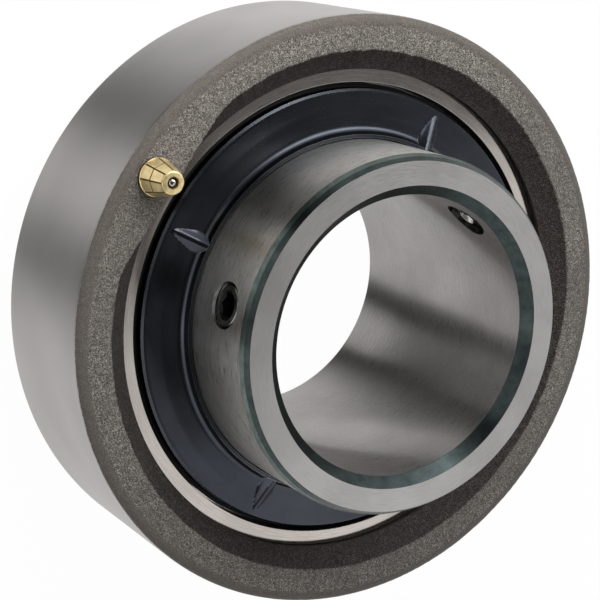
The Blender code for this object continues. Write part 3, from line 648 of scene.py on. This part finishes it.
def dark_steel(name, colour, roughness, edge_colour):
    """Black-oxide steel, with a painted highlight along its edges."""
    return clouded(name, colour, roughness, 0.9, 1.5 * MM, (0.6, 1.6), (0.8, 1.3),
                   (0.25 * MM, 0.5, 0.004 * MM), (0.08 * MM, 0.8, edge_colour))


def plain_metal(name, colour, roughness):
    """Bright metal with faint clouding and fine marks."""
    return clouded(name, colour, roughness, 1.0, 2.5 * MM, (0.82, 1.1), (0.75, 1.3),
                   (0.3 * MM, 0.6, 0.003 * MM))


def brass():
    """Turned brass, with painted shade along its edges."""
    return clouded("nipple_brass", (1.0, 0.77, 0.41), 0.30, 0.85, 1.6 * MM, (0.8, 1.08),
                   (1.0, 1.4), (0.22 * MM, 0.6, 0.004 * MM), (0.12 * MM, 0.5, (0.42, 0.28, 0.11)))


def rubber():
    """Moulded black rubber."""
    colour = (0.018, 0.018, 0.018)
    look = Look("seal_rubber", colour, 0.62)
    grain = look.noise(0.4 * MM, 4.0, 0.6)
    base = look.shade(colour, grain, 0.7, 1.5)
    return look.done(base, look.range(grain, 0.3, 0.7, 0.55, 0.72), grain, 0.008 * MM)


def make_looks():
    """Every finish of the object, by a short name."""
    return {
        "housing": housing_iron(),
        "housing_ground": housing_ground(),
        "outer": ground_steel("outer_ring_steel", (0.50, 0.46, 0.43), 0.13, 0.3),
        # Near black: painted shade on the outer ring's counterbore wall
        "counterbore_painted_shade": dark_steel("counterbore_shade", (0.05, 0.05, 0.05), 0.6, (0.2, 0.2, 0.2)),
        "inner": ground_steel("inner_ring_steel", (0.43, 0.42, 0.41), 0.32, 0.6),
        "bore": ground_steel("inner_ring_bore", (0.37, 0.355, 0.345), 0.29, 0.9),
        # The ring's outside, with painted shade near the slinger
        "inner_side": ground_steel("inner_ring_side", (0.76, 0.74, 0.70), 0.30, 0.91, FOOT_SHADE),
        "chamfer": oxide_steel("inner_ring_chamfer", (0.046, 0.058, 0.058), 0.28),
        # A lighter copy of the chamfer's scale: painted highlight on the nose chamfer's outer cone
        "chamfer_painted_highlight": oxide_steel("inner_ring_chamfer_light", (0.11, 0.135, 0.125), 0.28),
        # Darker than the ring's steel: painted shade in the screw holes, with painted glints on the
        # edges
        "hole": dark_steel("screw_hole_painted_shade", (0.10, 0.10, 0.10), 0.30, (0.34, 0.34, 0.33)),
        "slinger": slinger_steel(),
        "screw": dark_steel("set_screw_steel", (0.045, 0.045, 0.045), 0.28, (0.45, 0.45, 0.45)),
        "screw_tip": plain_metal("set_screw_tip", (0.75, 0.73, 0.70), 0.22),
        # Lighter than the black screw: a painted sheen on the top face
        "screw_face": plain_metal("set_screw_face_painted_sheen", (0.36, 0.36, 0.35), 0.34),
        # Near black: painted shade in the screw's socket and its lead
        "socket": dark_steel("set_screw_socket_painted_shade", (0.012, 0.012, 0.012), 0.45, (0.10, 0.10, 0.10)),
        "brass": brass(),
        # Painted shade for the nipple's grooves, waist, mouth and collar
        "brass_painted_shade": plain_metal("nipple_brass_dark", (0.20, 0.125, 0.05), 0.42),
        "check_ball": plain_metal("check_ball_steel", (0.50, 0.47, 0.45), 0.10),
        "ball": plain_metal("ball_steel", (0.78, 0.78, 0.80), 0.08),
        "cage": plain_metal("cage_steel", (0.46, 0.45, 0.44), 0.35),
        "rivet": plain_metal("rivet_steel", (0.55, 0.54, 0.53), 0.30),
        "rubber": rubber(),
        "spring": plain_metal("spring_steel", (0.62, 0.62, 0.62), 0.25),
        "pin": plain_metal("pin_steel", (0.55, 0.55, 0.55), 0.28),
    }


def housing_section(angle):
    """The housing's section at one angle: the recess changes shape along the nipple's flat."""
    foot_r = sqrt(SEAT_R ** 2 - SEAT_END ** 2)
    mouth_r = foot_r + RECESS_FLARE
    off = radians((angle - NIPPLE_ANGLE + 180.0) % 360.0 - 180.0)
    chord_r = LAND_R / cos(off) if abs(off) < 1.0 else 2 * mouth_r
    edge_r = softly_least(mouth_r, chord_r, LAND_BLEND) + MOUTH_WAVER * waver(angle, 1.0, 4.0)
    wall_r = edge_r - 0.6 * LIP
    share = (wall_r - foot_r) / RECESS_FLARE
    lip_foot = HOUSING_HALF - 0.8 * LIP
    wall_z = min(SEAT_END + (HOUSING_HALF - SEAT_END) * share, lip_foot - 0.02 * MM)
    inner_face = edge_r + 0.8 * LIP
    outer_face = HOUSING_R - CORNER_R
    points = [
        (wall_r, wall_z),
        (wall_r + 0.01 * MM, lip_foot),
        (edge_r, HOUSING_HALF - 0.25 * LIP),
    ]
    points += [(inner_face + (outer_face - inner_face) * i / 4, HOUSING_HALF) for i in range(4)]
    side_top = HOUSING_HALF - CORNER_Z
    for i in range(9):
        turn = pi / 2 * (1.0 - i / 8)
        dent = CORNER_DENT * waver(angle + 7.0 * i, 3.0, 6.0) * sin(pi * i / 8)
        points.append((
            outer_face + CORNER_R * cos(turn) ** CORNER_BULGE + dent,
            side_top + CORNER_Z * sin(turn) ** CORNER_BULGE + dent,
        ))
    points += [(HOUSING_R, side_top - i * 2 * side_top / 7) for i in range(1, 7)]
    points += rounded([
        (HOUSING_R, 0.0, 0.0),
        (HOUSING_R, -HOUSING_HALF + REAR_CHAMFER, 0.5 * MM),
        (HOUSING_R - REAR_CHAMFER, -HOUSING_HALF, 0.5 * MM),
        (mouth_r, -HOUSING_HALF, 0.25 * MM),
        (foot_r, -SEAT_END, 0.0),
    ], 3)[1:]
    low = GROOVE_Z - GROOVE_W / 2
    top = GROOVE_Z + GROOVE_W / 2
    groove_r = sqrt(SEAT_R ** 2 - GROOVE_Z ** 2) + GROOVE_DEPTH
    points += sphere(SEAT_R, -SEAT_END, low, 14)[1:]
    points += [(groove_r, low), (groove_r, top)]
    points += sphere(SEAT_R, top, SEAT_END, 6)
    return [Vector(point) for point in points]


def make_housing(looks):
    """The cartridge housing with its cast skin, loading slots, pin notch and nipple hole."""
    angles = [k * 360.0 / CAST_STEPS for k in range(CAST_STEPS)]
    housing = ring_grid("housing_skin", map(housing_section, angles), angles)
    hole = Matrix.Translation(polar(NIPPLE_R, NIPPLE_ANGLE, HOUSING_HALF))
    boolean(housing, plug("cut_nipple_hole", NIPPLE_HOLE_R, 2 * (HOUSING_HALF - GROOVE_Z), hole))
    slots = plug("cut_slots", SLOT_R, 2 * HOUSING_HALF + 2 * PAST,
                 Matrix.Translation((0, 0, CENTRE_Z - HOUSING_HALF - PAST)), 180)
    width = block("cut_slot_width", (SLOT_W, 2 * HOUSING_R, 4 * HOUSING_HALF),
                  Matrix.Translation((0, 0, CENTRE_Z)))
    boolean(slots, width, "INTERSECT")
    boolean(housing, settle(slots))
    notch = (NOTCH_R, NOTCH_W, HOUSING_HALF + 2 * PAST + NOTCH_TOP)
    spot = Matrix.Translation((NOTCH_R / 2, 0.0, CENTRE_Z + NOTCH_TOP - notch[2] / 2))
    boolean(housing, block("cut_notch", notch, spot))
    settle(housing, 35.0)
    side_r = HOUSING_R - 0.03 * MM
    side_top = HOUSING_HALF - CORNER_Z
    finish_faces(housing, [looks["housing"], looks["housing_ground"]],
                 lambda r, z, n: 1 if r > side_r and abs(n.z) < 0.05 and z < side_top else 0)
    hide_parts("housing")
    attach(housing, "housing")


def raceway(foot_r, side, land_r, steps):
    """Raceway points, front to rear; side is 1 for an inner ring and -1 for an outer."""
    groove_r = GROOVE_CONFORMITY * 2 * BALL_R
    centre_r = foot_r + side * groove_r
    half = degrees(acos((centre_r - land_r) / (side * groove_r)))
    return [(centre_r - side * p.x, p.y) for p in arc(groove_r, half, -half, steps)]


def make_outer_ring(looks):
    """The outer ring with its ground face, raceway, counterbores, grease holes and pin hole."""
    edge_z = RING_HALF - RING_CORNER
    edge_r = sqrt(SPHERE_R ** 2 - edge_z ** 2)
    front = rounded([
        (OUTER_LAND_R, COUNTERBORE_Z, 0.0),
        (COUNTERBORE_R, COUNTERBORE_Z, 0.0),
        (COUNTERBORE_R, RING_HALF, BROKEN_EDGE),
        (edge_r, RING_HALF, 0.5 * RING_CORNER),
        (edge_r + 0.4 * MM, edge_z - 0.4 * MM, 0.0),
    ], 4)[1:-1]
    rear = [(p.x, -p.y) for p in reversed(front)]
    back_z = edge_z - 0.3 * MM
    profile = front + sphere(SPHERE_R, back_z, -back_z, 22) + rear
    profile.append((OUTER_LAND_R, -COUNTERBORE_Z))
    profile += reversed(raceway(PITCH_R + BALL_R + BALL_GAP, -1, OUTER_LAND_R, 14))
    profile.append((OUTER_LAND_R, COUNTERBORE_Z))
    ring = turned("outer_ring_fine", profile, ROUND)
    for k in range(2):
        spot = radial_spot(90.0 + 180.0 * k, (OUTER_LAND_R + SPHERE_R) / 2, GROOVE_Z)
        boolean(ring, plug(f"cut_grease_hole_{k}", GREASE_HOLE_R, 16 * MM, spot, SMALL_HOLE))
    spot = radial_spot(0.0, SPHERE_R, 0.0, PIN_LATITUDE)
    boolean(ring, plug("cut_pin_hole", PIN_HOLE_R, 2 * PAST, spot, SMALL_HOLE))
    settle(ring, weigh=True)
    wall_r = COUNTERBORE_R + 0.05 * MM
    # The counterbore's wall takes painted shade
    finish_faces(ring, [looks["outer"], looks["counterbore_painted_shade"]],
                 lambda r, z, n: 1 if r < wall_r and abs(z) > COUNTERBORE_Z else 0)
    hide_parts("outer_ring")
    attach(ring, "outer_ring")


def thread(radius, z_top, z_foot):
    """A threaded side's points, from the top down, with its ridges at the radius."""
    root = radius - THREAD_DEPTH
    points = []
    z = z_top
    while z - THREAD_PITCH > z_foot:
        crest = z - THREAD_PITCH / 2
        points += [(root, z), (radius, crest + CREST_HALF), (radius, crest - CREST_HALF)]
        z -= THREAD_PITCH
    points.append((root, z))
    return points


def make_inner_ring(looks):
    """The wide inner ring: ground faces, scaled chamfers, raceway and two threaded holes."""
    nose = rounded([
        (BORE_R, 0.0, 0.0),
        (BORE_R, INNER_FRONT - BORE_CHAMFER, BROKEN_EDGE),
        (BORE_R + BORE_CHAMFER, INNER_FRONT, BROKEN_EDGE),
        (INNER_R - NOSE_CHAMFER_R, INNER_FRONT, BROKEN_EDGE),
        (INNER_R - NOSE_CREST_R, INNER_FRONT - NOSE_CREST_Z, BROKEN_EDGE),
        (INNER_R, INNER_FRONT - NOSE_CHAMFER_Z, BROKEN_EDGE),
        (INNER_R, 0.0, 0.0),
    ], 3)[1:-1]
    tail = rounded([
        (INNER_R, 0.0, 0.0),
        (INNER_R, -INNER_REAR + TAIL_CHAMFER, BROKEN_EDGE),
        (INNER_R - TAIL_CHAMFER, -INNER_REAR, BROKEN_EDGE),
        (BORE_R + BORE_CHAMFER, -INNER_REAR, BROKEN_EDGE),
        (BORE_R, -INNER_REAR + BORE_CHAMFER, BROKEN_EDGE),
        (BORE_R, 0.0, 0.0),
    ], 3)[1:-1]
    profile = nose + raceway(PITCH_R - BALL_R - BALL_GAP, 1, INNER_R, 14) + tail
    ring = turned("inner_ring_fine", profile, ROUND)
    wall = INNER_R - BORE_R
    mouth = SCREW_HOLE_R + SCREW_MOUTH
    for k, angle in enumerate(SCREW_ANGLES):
        side = [(0.0, wall), (mouth + wall, wall), (SCREW_HOLE_R, -SCREW_MOUTH)]
        side += thread(SCREW_HOLE_R + THREAD_DEPTH, -0.5 * MM, -wall + 0.5 * MM)
        side += [(SCREW_HOLE_R, -2 * wall), (0.0, -2 * wall)]
        spot = radial_spot(angle, INNER_R, SCREW_Z)
        boolean(ring, turned(f"cut_screw_hole_{k}", side, FINE_HOLE, spot))
    settle(ring, 25.0, weigh=True)

    def choose(radius, z, normal):
        steep = abs(normal.z)
        if steep > 0.98:
            return 0
        nose = z > INNER_FRONT - BORE_CHAMFER - 0.05 * MM
        tail = z < -INNER_REAR + BORE_CHAMFER + 0.05 * MM
        # The nose chamfer's outer cone takes the painted highlight
        if nose and radius > INNER_R - NOSE_CHAMFER_R - 0.05 * MM and steep > 0.2:
            return 4 if z < INNER_FRONT - NOSE_CREST_Z else 1
        if (nose or tail) and 0.45 < steep < 0.95:
            return 1
        if radius < BORE_R + 0.005 * MM:
            return 2
        if radius > INNER_R - 0.005 * MM and steep < 0.2:
            return 3
        # Faces round the screw holes take painted shade
        return 5 if abs(z - SCREW_Z) < 2 * SCREW_HOLE_R else 3

    parts = ("inner", "chamfer", "bore", "inner_side", "chamfer_painted_highlight", "hole")
    finish_faces(ring, [looks[part] for part in parts], choose)
    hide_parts("inner_ring")
    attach(ring, "inner_ring")


def resampled(points, spacing):
    """The same line with points at an even spacing, and each point's distance along it."""
    marks = [0.0]
    for a, b in zip(points, points[1:]):
        marks.append(marks[-1] + (b - a).length)
    count = ceil(marks[-1] / spacing)
    found = []
    k = 0
    for i in range(count + 1):
        goal = marks[-1] * i / count
        while k < len(marks) - 2 and marks[k + 1] < goal:
            k += 1
        share = (goal - marks[k]) / (marks[k + 1] - marks[k])
        found.append((points[k].lerp(points[k + 1], share), goal))
    return found


def slinger_line():
    """The middle line of the front slinger's section, from its collar to its rim."""
    return resampled(rounded([
        (COLLAR_R, COLLAR_TOP, 0.0),
        (COLLAR_R, SLINGER_MID_Z + SLINGER_DISH + DISH_RISE, COLLAR_BEND),
        (COLLAR_R + DISH_W, SLINGER_MID_Z + SLINGER_DISH, DISH_BLEND),
        (RIM_R, SLINGER_MID_Z, RIM_BEND),
        (RIM_R, RIM_FOOT, 0.0),
    ], 8), SHEET_STEP)


def dart_section(line, share):
    """The section with a dart's straight back across its bend; share is 1 on the dart's crest."""
    if share <= 0.0:
        return [point for point, _ in line]
    tip = COLLAR_R + DART_REACH * share
    top = SLINGER_MID_Z + (DART_TOP - SLINGER_MID_Z) * share
    on_collar = [mark for point, mark in line
                 if point.y >= top and point.x < COLLAR_R + COLLAR_BEND]
    start = on_collar[-1] if on_collar else 0.0
    low, end = next(spot for spot in line if spot[0].x >= tip)
    high = Vector((COLLAR_R, top))
    out = Vector((1.0, 1.0))
    section = []
    for point, mark in line:
        if start < mark < end:
            back = high.lerp(low, (mark - start) / (end - start))
            point = back if (back - point).dot(out) > 0 else point
        section.append(point)
    return section


def make_slinger(node, side, looks):
    """A pressed slinger with its collar, turned-down rim and raised darts."""
    line = slinger_line()
    half = 180.0 / DART_COUNT
    coarse = [(half - DART_FINE) * i / COARSE_STEPS for i in range(COARSE_STEPS)]
    offsets = [-half + step for step in coarse]
    offsets += [-DART_FINE + DART_STEP * i for i in range(int(2 * DART_FINE / DART_STEP))]
    offsets += [DART_FINE + step for step in coarse]
    angles = []
    sections = []
    for k in range(DART_COUNT):
        for offset in offsets:
            across = abs(radians(offset)) * (COLLAR_R + COLLAR_BEND)
            beside = max(across - DART_CREST_W, 0.0) / (DART_HALF_W - DART_CREST_W)
            angles.append(DART_ANGLE + k * 360.0 / DART_COUNT + offset)
            sections.append(dart_section(line, 1.0 - beside))
    if side < 0:
        sections = [[(p.x, -p.y) for p in reversed(section)] for section in sections]
    slinger = ring_grid(node + "_sheet", sections, angles, closed=False)
    fit(slinger.modifiers.new("Sheet", "SOLIDIFY"), thickness=SHEET_T, offset=0.0,
        use_even_offset=True)
    fit(slinger.modifiers.new("Rim", "BEVEL"), width=CUT_EDGE, segments=2, limit_method="ANGLE",
        angle_limit=radians(60.0))
    settle(slinger, 22.0)
    slinger.data.materials.append(looks["slinger"])
    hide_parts(node)
    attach(slinger, "inner_ring")


def make_set_screw(number, angle, looks):
    """A threaded socket set screw with a cup point."""
    node = f"set_screw_{number}"
    point = -(INNER_R - SCREW_SUNK - BORE_R - SCREW_SHORT)
    side = [(0.0, 0.0), (SCREW_R - 0.55 * MM, 0.0)]
    side += thread(SCREW_R, -0.25 * MM, point + 2.2 * MM)
    side += [
        (SHOULDER_R, point + SHOULDER_Z),
        (SHOULDER_R - SHOULDER_CONE, point + 1.3 * MM),
        (TIP_R + 0.15 * MM, point + 0.15 * MM),
        (TIP_R, point),
        (TIP_R - 0.3 * MM, point),
        (0.4 * MM, point + 0.4 * MM),
        (0.0, point + 0.45 * MM),
    ]
    spot = radial_spot(angle, INNER_R - SCREW_SUNK, SCREW_Z)
    screw = turned(node + "_threaded", side, FINE_HOLE, spot)
    socket_r = SOCKET_FLATS / 2 / cos(pi / 6)
    boolean(screw, plug("cut_socket", socket_r, 2 * SOCKET_DEPTH, spot, 6))
    lead = [(0.0, 0.5 * MM), (socket_r + 0.70 * MM, 0.5 * MM),
            (socket_r - 0.35 * MM, -0.55 * MM), (0.0, -0.55 * MM)]
    boolean(screw, turned("cut_lead", lead, FINE_HOLE, spot))
    settle(screw, 25.0, weigh=True)
    for part in ("screw", "screw_tip", "screw_face", "socket"):
        screw.data.materials.append(looks[part])
    for face in screw.data.polygons:
        radius = hypot(face.center.x, face.center.y)
        if face.center.z < point + SHOULDER_Z + 0.05 * MM:
            cone = SHOULDER_R - SHOULDER_CONE < radius < SHOULDER_R
            face.material_index = 1 if cone or radius < TIP_R + 0.1 * MM else 0
        # Socket and lead: painted shade
        elif radius < socket_r + 0.5 * MM:
            face.material_index = 3
        # Top face: painted sheen
        elif face.center.z > -0.4 * MM:
            face.material_index = 2
    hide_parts(node)
    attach(screw, node)


def eight_sided(name, tiers, spot):
    """An eight-sided block from (corner radius, z) tiers, with a groove at each corner in painted
    shade.
    """
    shape = bmesh.new()
    rows = []
    for radius, z in tiers:
        corners = arc(radius, 0, 315, 7)
        row = []
        for k, corner in enumerate(corners):
            before = (corners[k - 1] - corner).normalized() * FLAT_GROOVE_HALF
            after = (corners[(k + 1) % 8] - corner).normalized() * FLAT_GROOVE_HALF
            bottom = corner * (1.0 - FLAT_GROOVE_DEPTH / radius)
            row += [shape.verts.new((*p, z)) for p in (corner + before, bottom, corner + after)]
        rows.append(row)
    for upper, lower in zip(rows, rows[1:]):
        for i in range(24):
            j = (i + 1) % 24
            face = shape.faces.new((upper[i], lower[i], lower[j], upper[j]))
            # Faces inside the grooves take painted shade
            face.material_index = 0 if i % 3 == 2 else 1
    shape.faces.new(rows[0])
    shape.faces.new(reversed(rows[-1]))
    obj = from_bmesh(name, shape)
    obj.matrix_world = spot
    return obj


def from_mm(profile, base):
    """(radius, z) points in metres from points in millimetres, with z counted from a base."""
    return [(radius * MM, base + z * MM) for radius, z in profile]


def make_nipple(looks):
    """The grease nipple: round foot, eight-sided head in two blocks, round end with a mouth."""
    spot = Matrix.Translation(polar(NIPPLE_R, NIPPLE_ANGLE, HOUSING_HALF))
    head = eight_sided("grease_nipple_head", [
        (2.62 * MM, NIPPLE_TIP),
        *from_mm([(3.38, 0.16), (3.05, 0.0), (3.42, -0.16)], NIPPLE_WAIST),
        *from_mm([(4.05, 0.3), (4.05, -0.1)], NIPPLE_BLOCK_FOOT),
    ], spot @ Matrix.Rotation(radians(NIPPLE_TURN), 4, "Z"))
    head.data.materials.append(looks["brass"])
    head.data.materials.append(looks["brass_painted_shade"])
    # Painted shade in the waist groove
    for face in head.data.polygons:
        if abs(face.center.z - NIPPLE_WAIST) < 0.1 * MM:
            face.material_index = 1
    body = turned("add_body", [
        *from_mm([(0.0, 0.0), (2.1, 0.0), (2.25, -0.04), (2.34, -0.12), (2.38, -0.24)], NIPPLE_TOP),
        *from_mm([(2.38, 0.2), (3.85, 0.2), (4.0, 0.05)], NIPPLE_BLOCK_FOOT),
        *from_mm([(4.0, 0.1), (3.9, 0.0), (3.0, 0.0)], NIPPLE_FOOT),
        *from_mm([(3.0, -7.0), (0.0, -7.0)], 0.0),
    ], FINE_HOLE, spot)
    duct = turned("cut_duct", [
        *from_mm([(0.0, 1.0), (1.38, 0.2), (1.22, -0.12), (1.05, -0.35), (1.5, -0.85)], NIPPLE_TOP),
        *from_mm([(1.5, 2.6), (0.8, 2.3), (0.8, -7.4), (0.0, -7.4)], 0.0),
    ], FINE_HOLE, spot)
    boolean(head, settle(body), "UNION")
    boolean(head, settle(duct))
    settle(head, 28.0, weigh=True)
    # Painted shade in the mouth and on the foot's collar
    for face in head.data.polygons:
        x, y, z = face.center
        in_mouth = hypot(x, y) < 1.3 * MM and z < NIPPLE_TOP - 0.05 * MM
        if in_mouth or NIPPLE_FOOT - 0.1 * MM < z < NIPPLE_BLOCK_FOOT + 0.1 * MM:
            face.material_index = 1
    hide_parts("grease_nipple")
    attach(head, "housing")


def make_ball(node, body, radius, middle, look):
    """A smooth ball in place of a faceted one."""
    shape = bmesh.new()
    bmesh.ops.create_uvsphere(shape, u_segments=40, v_segments=20, radius=radius)
    ball = from_bmesh(node + "_smooth", shape)
    ball.data.shade_smooth()
    ball.data.materials.append(look)
    ball.location = middle
    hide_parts(node)
    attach(ball, body)


def make_balls(looks):
    """The ten running balls, and the check ball in the nipple's mouth."""
    for k in range(BALL_COUNT):
        node = f"ball_{k + 1:02d}"
        middle = polar(PITCH_R, k * 360.0 / BALL_COUNT)
        make_ball(node, node, BALL_R, middle, looks["ball"])
    low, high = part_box("nipple_ball")
    make_ball("nipple_ball", "nipple_ball", (high.z - low.z) / 2, (low + high) / 2,
              looks["check_ball"])


def make_nipple_spring(looks):
    """The coil under the check ball."""
    low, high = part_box("nipple_spring")
    middle = (low + high) / 2
    radius = (high.y - low.y) / 2 - SPRING_WIRE_R
    rise = high.z - low.z - 2 * SPRING_WIRE_R
    curve = bpy.data.curves.new("nipple_spring_line", "CURVE")
    fit(curve, dimensions="3D", bevel_depth=SPRING_WIRE_R, bevel_resolution=3, use_fill_caps=True)
    count = SPRING_TURNS * SMALL_HOLE
    spline = curve.splines.new("POLY")
    spline.points.add(count)
    for i, point in enumerate(spline.points):
        turn = tau * SPRING_TURNS * i / count
        point.co = (radius * cos(turn), radius * sin(turn), rise * i / count, 1.0)
    line = bpy.data.objects.new("nipple_spring_line", curve)
    mesh = bpy.data.meshes.new_from_object(line)
    bpy.data.objects.remove(line)
    mesh.shade_smooth()
    mesh.materials.clear()
    mesh.materials.append(looks["spring"])
    coil = add("nipple_spring_coil", mesh)
    coil.location = (middle.x, middle.y, low.z + SPRING_WIRE_R)
    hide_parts("nipple_spring")
    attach(coil, "housing")
    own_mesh(coil)


def dress_hidden(looks):
    """Gives the unchanged hidden solids their finishes."""
    finishes = {"cage": "cage", "rivet": "rivet", "front_seal": "rubber", "rear_seal": "rubber",
                "locating_pin": "pin"}
    for name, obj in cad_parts.items():
        for start, look in finishes.items():
            if name.startswith(start):
                obj.data.materials.clear()
                obj.data.materials.append(looks[look])


def seen_directly(nodes):
    """1 for what the camera, a reflection or a clear piece sees, 0 for light on surfaces."""
    path = nodes.node("LightPath").outputs
    seen = nodes.math("MAXIMUM", path["Is Camera Ray"], path["Is Glossy Ray"])
    return nodes.math("MAXIMUM", seen, path["Is Transmission Ray"])


def studio_tone(nodes):
    """White for the camera, and for reflections the studio's brightness round the object."""
    generated = nodes.node("TexCoord").outputs["Generated"]
    direction = nodes.node("SeparateXYZ", (generated,)).outputs
    turn = nodes.math("ARCTAN2", direction["Y"], direction["X"])
    whole = nodes.math("WRAP", nodes.math("DIVIDE", turn, tau), 1.0, 0.0)
    ramp = nodes.node("ValToRGB", (whole,))
    stops = ramp.color_ramp.elements
    while len(stops) < len(STUDIO_TONES):
        stops.new(0.5)
    for stop, (angle, tone) in zip(stops, STUDIO_TONES):
        stop.position = angle / 360.0
        stop.color = (tone, tone, tone, 1.0)
    glossy = nodes.node("LightPath").outputs["Is Glossy Ray"]
    return nodes.node("Mix", (glossy, None, 1.0, ramp.outputs[0])).outputs[0]


def make_world():
    """White where it is seen, softer where it lights."""
    world = bpy.data.worlds.new("studio")
    bpy.context.scene.world = world
    world.use_nodes = True
    world.node_tree.nodes.clear()
    nodes = Nodes(world.node_tree)
    lit = nodes.node("Background", (WORLD_TINT, WORLD_LIGHT))
    white = nodes.node("Background", (WHITE, studio_tone(nodes)))
    mix = nodes.node("MixShader", (seen_directly(nodes), lit.outputs[0], white.outputs[0]))
    nodes.node("OutputWorld", (mix.outputs[0],))


def studio_sheet(name, look, height, outline, **sockets):
    """A flat sheet of the studio, whose look has plain values: its object and its shader."""
    mesh = bpy.data.meshes.new(name)
    mesh.from_pydata([(x, y, height) for x, y in outline], [], [tuple(range(len(outline)))])
    material = bpy.data.materials.new(look)
    material.use_nodes = True
    mesh.materials.append(material)
    shader = material.node_tree.nodes["Principled BSDF"]
    for socket, value in sockets.items():
        shader.inputs[socket.replace("_", " ")].default_value = value
    return add(name, mesh), shader


def make_floor():
    """A plain pale floor that keeps the object's shadow."""
    half = FLOOR_HALF
    corners = ((-half, -half), (half, -half), (half, half), (-half, half))
    floor, shader = studio_sheet("floor", "floor_white", 0.0, corners,
                                 Base_Color=(0.86, 0.86, 0.86, 1.0), Roughness=0.9)
    nodes = Nodes(shader.id_data)
    seen = nodes.times(seen_directly(nodes), FLOOR_GLOW)
    glow = nodes.node("Emission").outputs[0]
    mix = nodes.node("MixShader", (seen, shader.outputs[0], glow))
    nodes.put(nodes.tree.nodes["Material Output"].inputs[0], mix.outputs[0])
    floor.visible_glossy = False


def make_lights():
    """Soft studio lamps, each aimed at the object."""
    for name, spot, width, height, power, mirrored in LAMPS:
        data = bpy.data.lights.new(name, "AREA")
        fit(data, shape="RECTANGLE", size=width, size_y=height, energy=power)
        lamp = add(name, data)
        lamp.visible_glossy = mirrored
        lamp.location = spot
        lamp.rotation_euler = (LAMP_TARGET - Vector(spot)).to_track_quat("-Z", "Y").to_euler()


def make_board(name, tone, height, outline):
    """A grey board of the studio that only reflections see; tone is its brightness."""
    flag, _ = studio_sheet(name, name, height, outline, Base_Color=BLACK, Specular_IOR_Level=0.0,
                           Emission_Color=WHITE, Emission_Strength=tone)
    fit(flag, visible_camera=False, visible_diffuse=False, visible_shadow=False,
        visible_transmission=False)


def make_camera():
    """The photograph's camera."""
    data = bpy.data.cameras.new("camera")
    fit(data, lens=CAMERA_LENS, sensor_width=36.0, clip_start=0.01)
    camera = add("camera", data)
    back = -CAMERA_LOOK.normalized()
    right = CAMERA_UP.cross(back).normalized()
    turn = Matrix((right, back.cross(right), back)).transposed().to_4x4()
    camera.matrix_world = Matrix.Translation(CAMERA_SPOT) @ turn
    bpy.context.scene.camera = camera


looks = make_looks()
make_housing(looks)
make_outer_ring(looks)
make_inner_ring(looks)
make_slinger("front_slinger", 1, looks)
make_slinger("rear_slinger", -1, looks)
for number, angle in enumerate(SCREW_ANGLES, 1):
    make_set_screw(number, angle, looks)
make_nipple(looks)
make_balls(looks)
make_nipple_spring(looks)
dress_hidden(looks)
make_world()
make_floor()
make_lights()
for board in BOARDS:
    make_board(*board)
make_camera()
bpy.context.scene.view_settings.view_transform = "Standard"
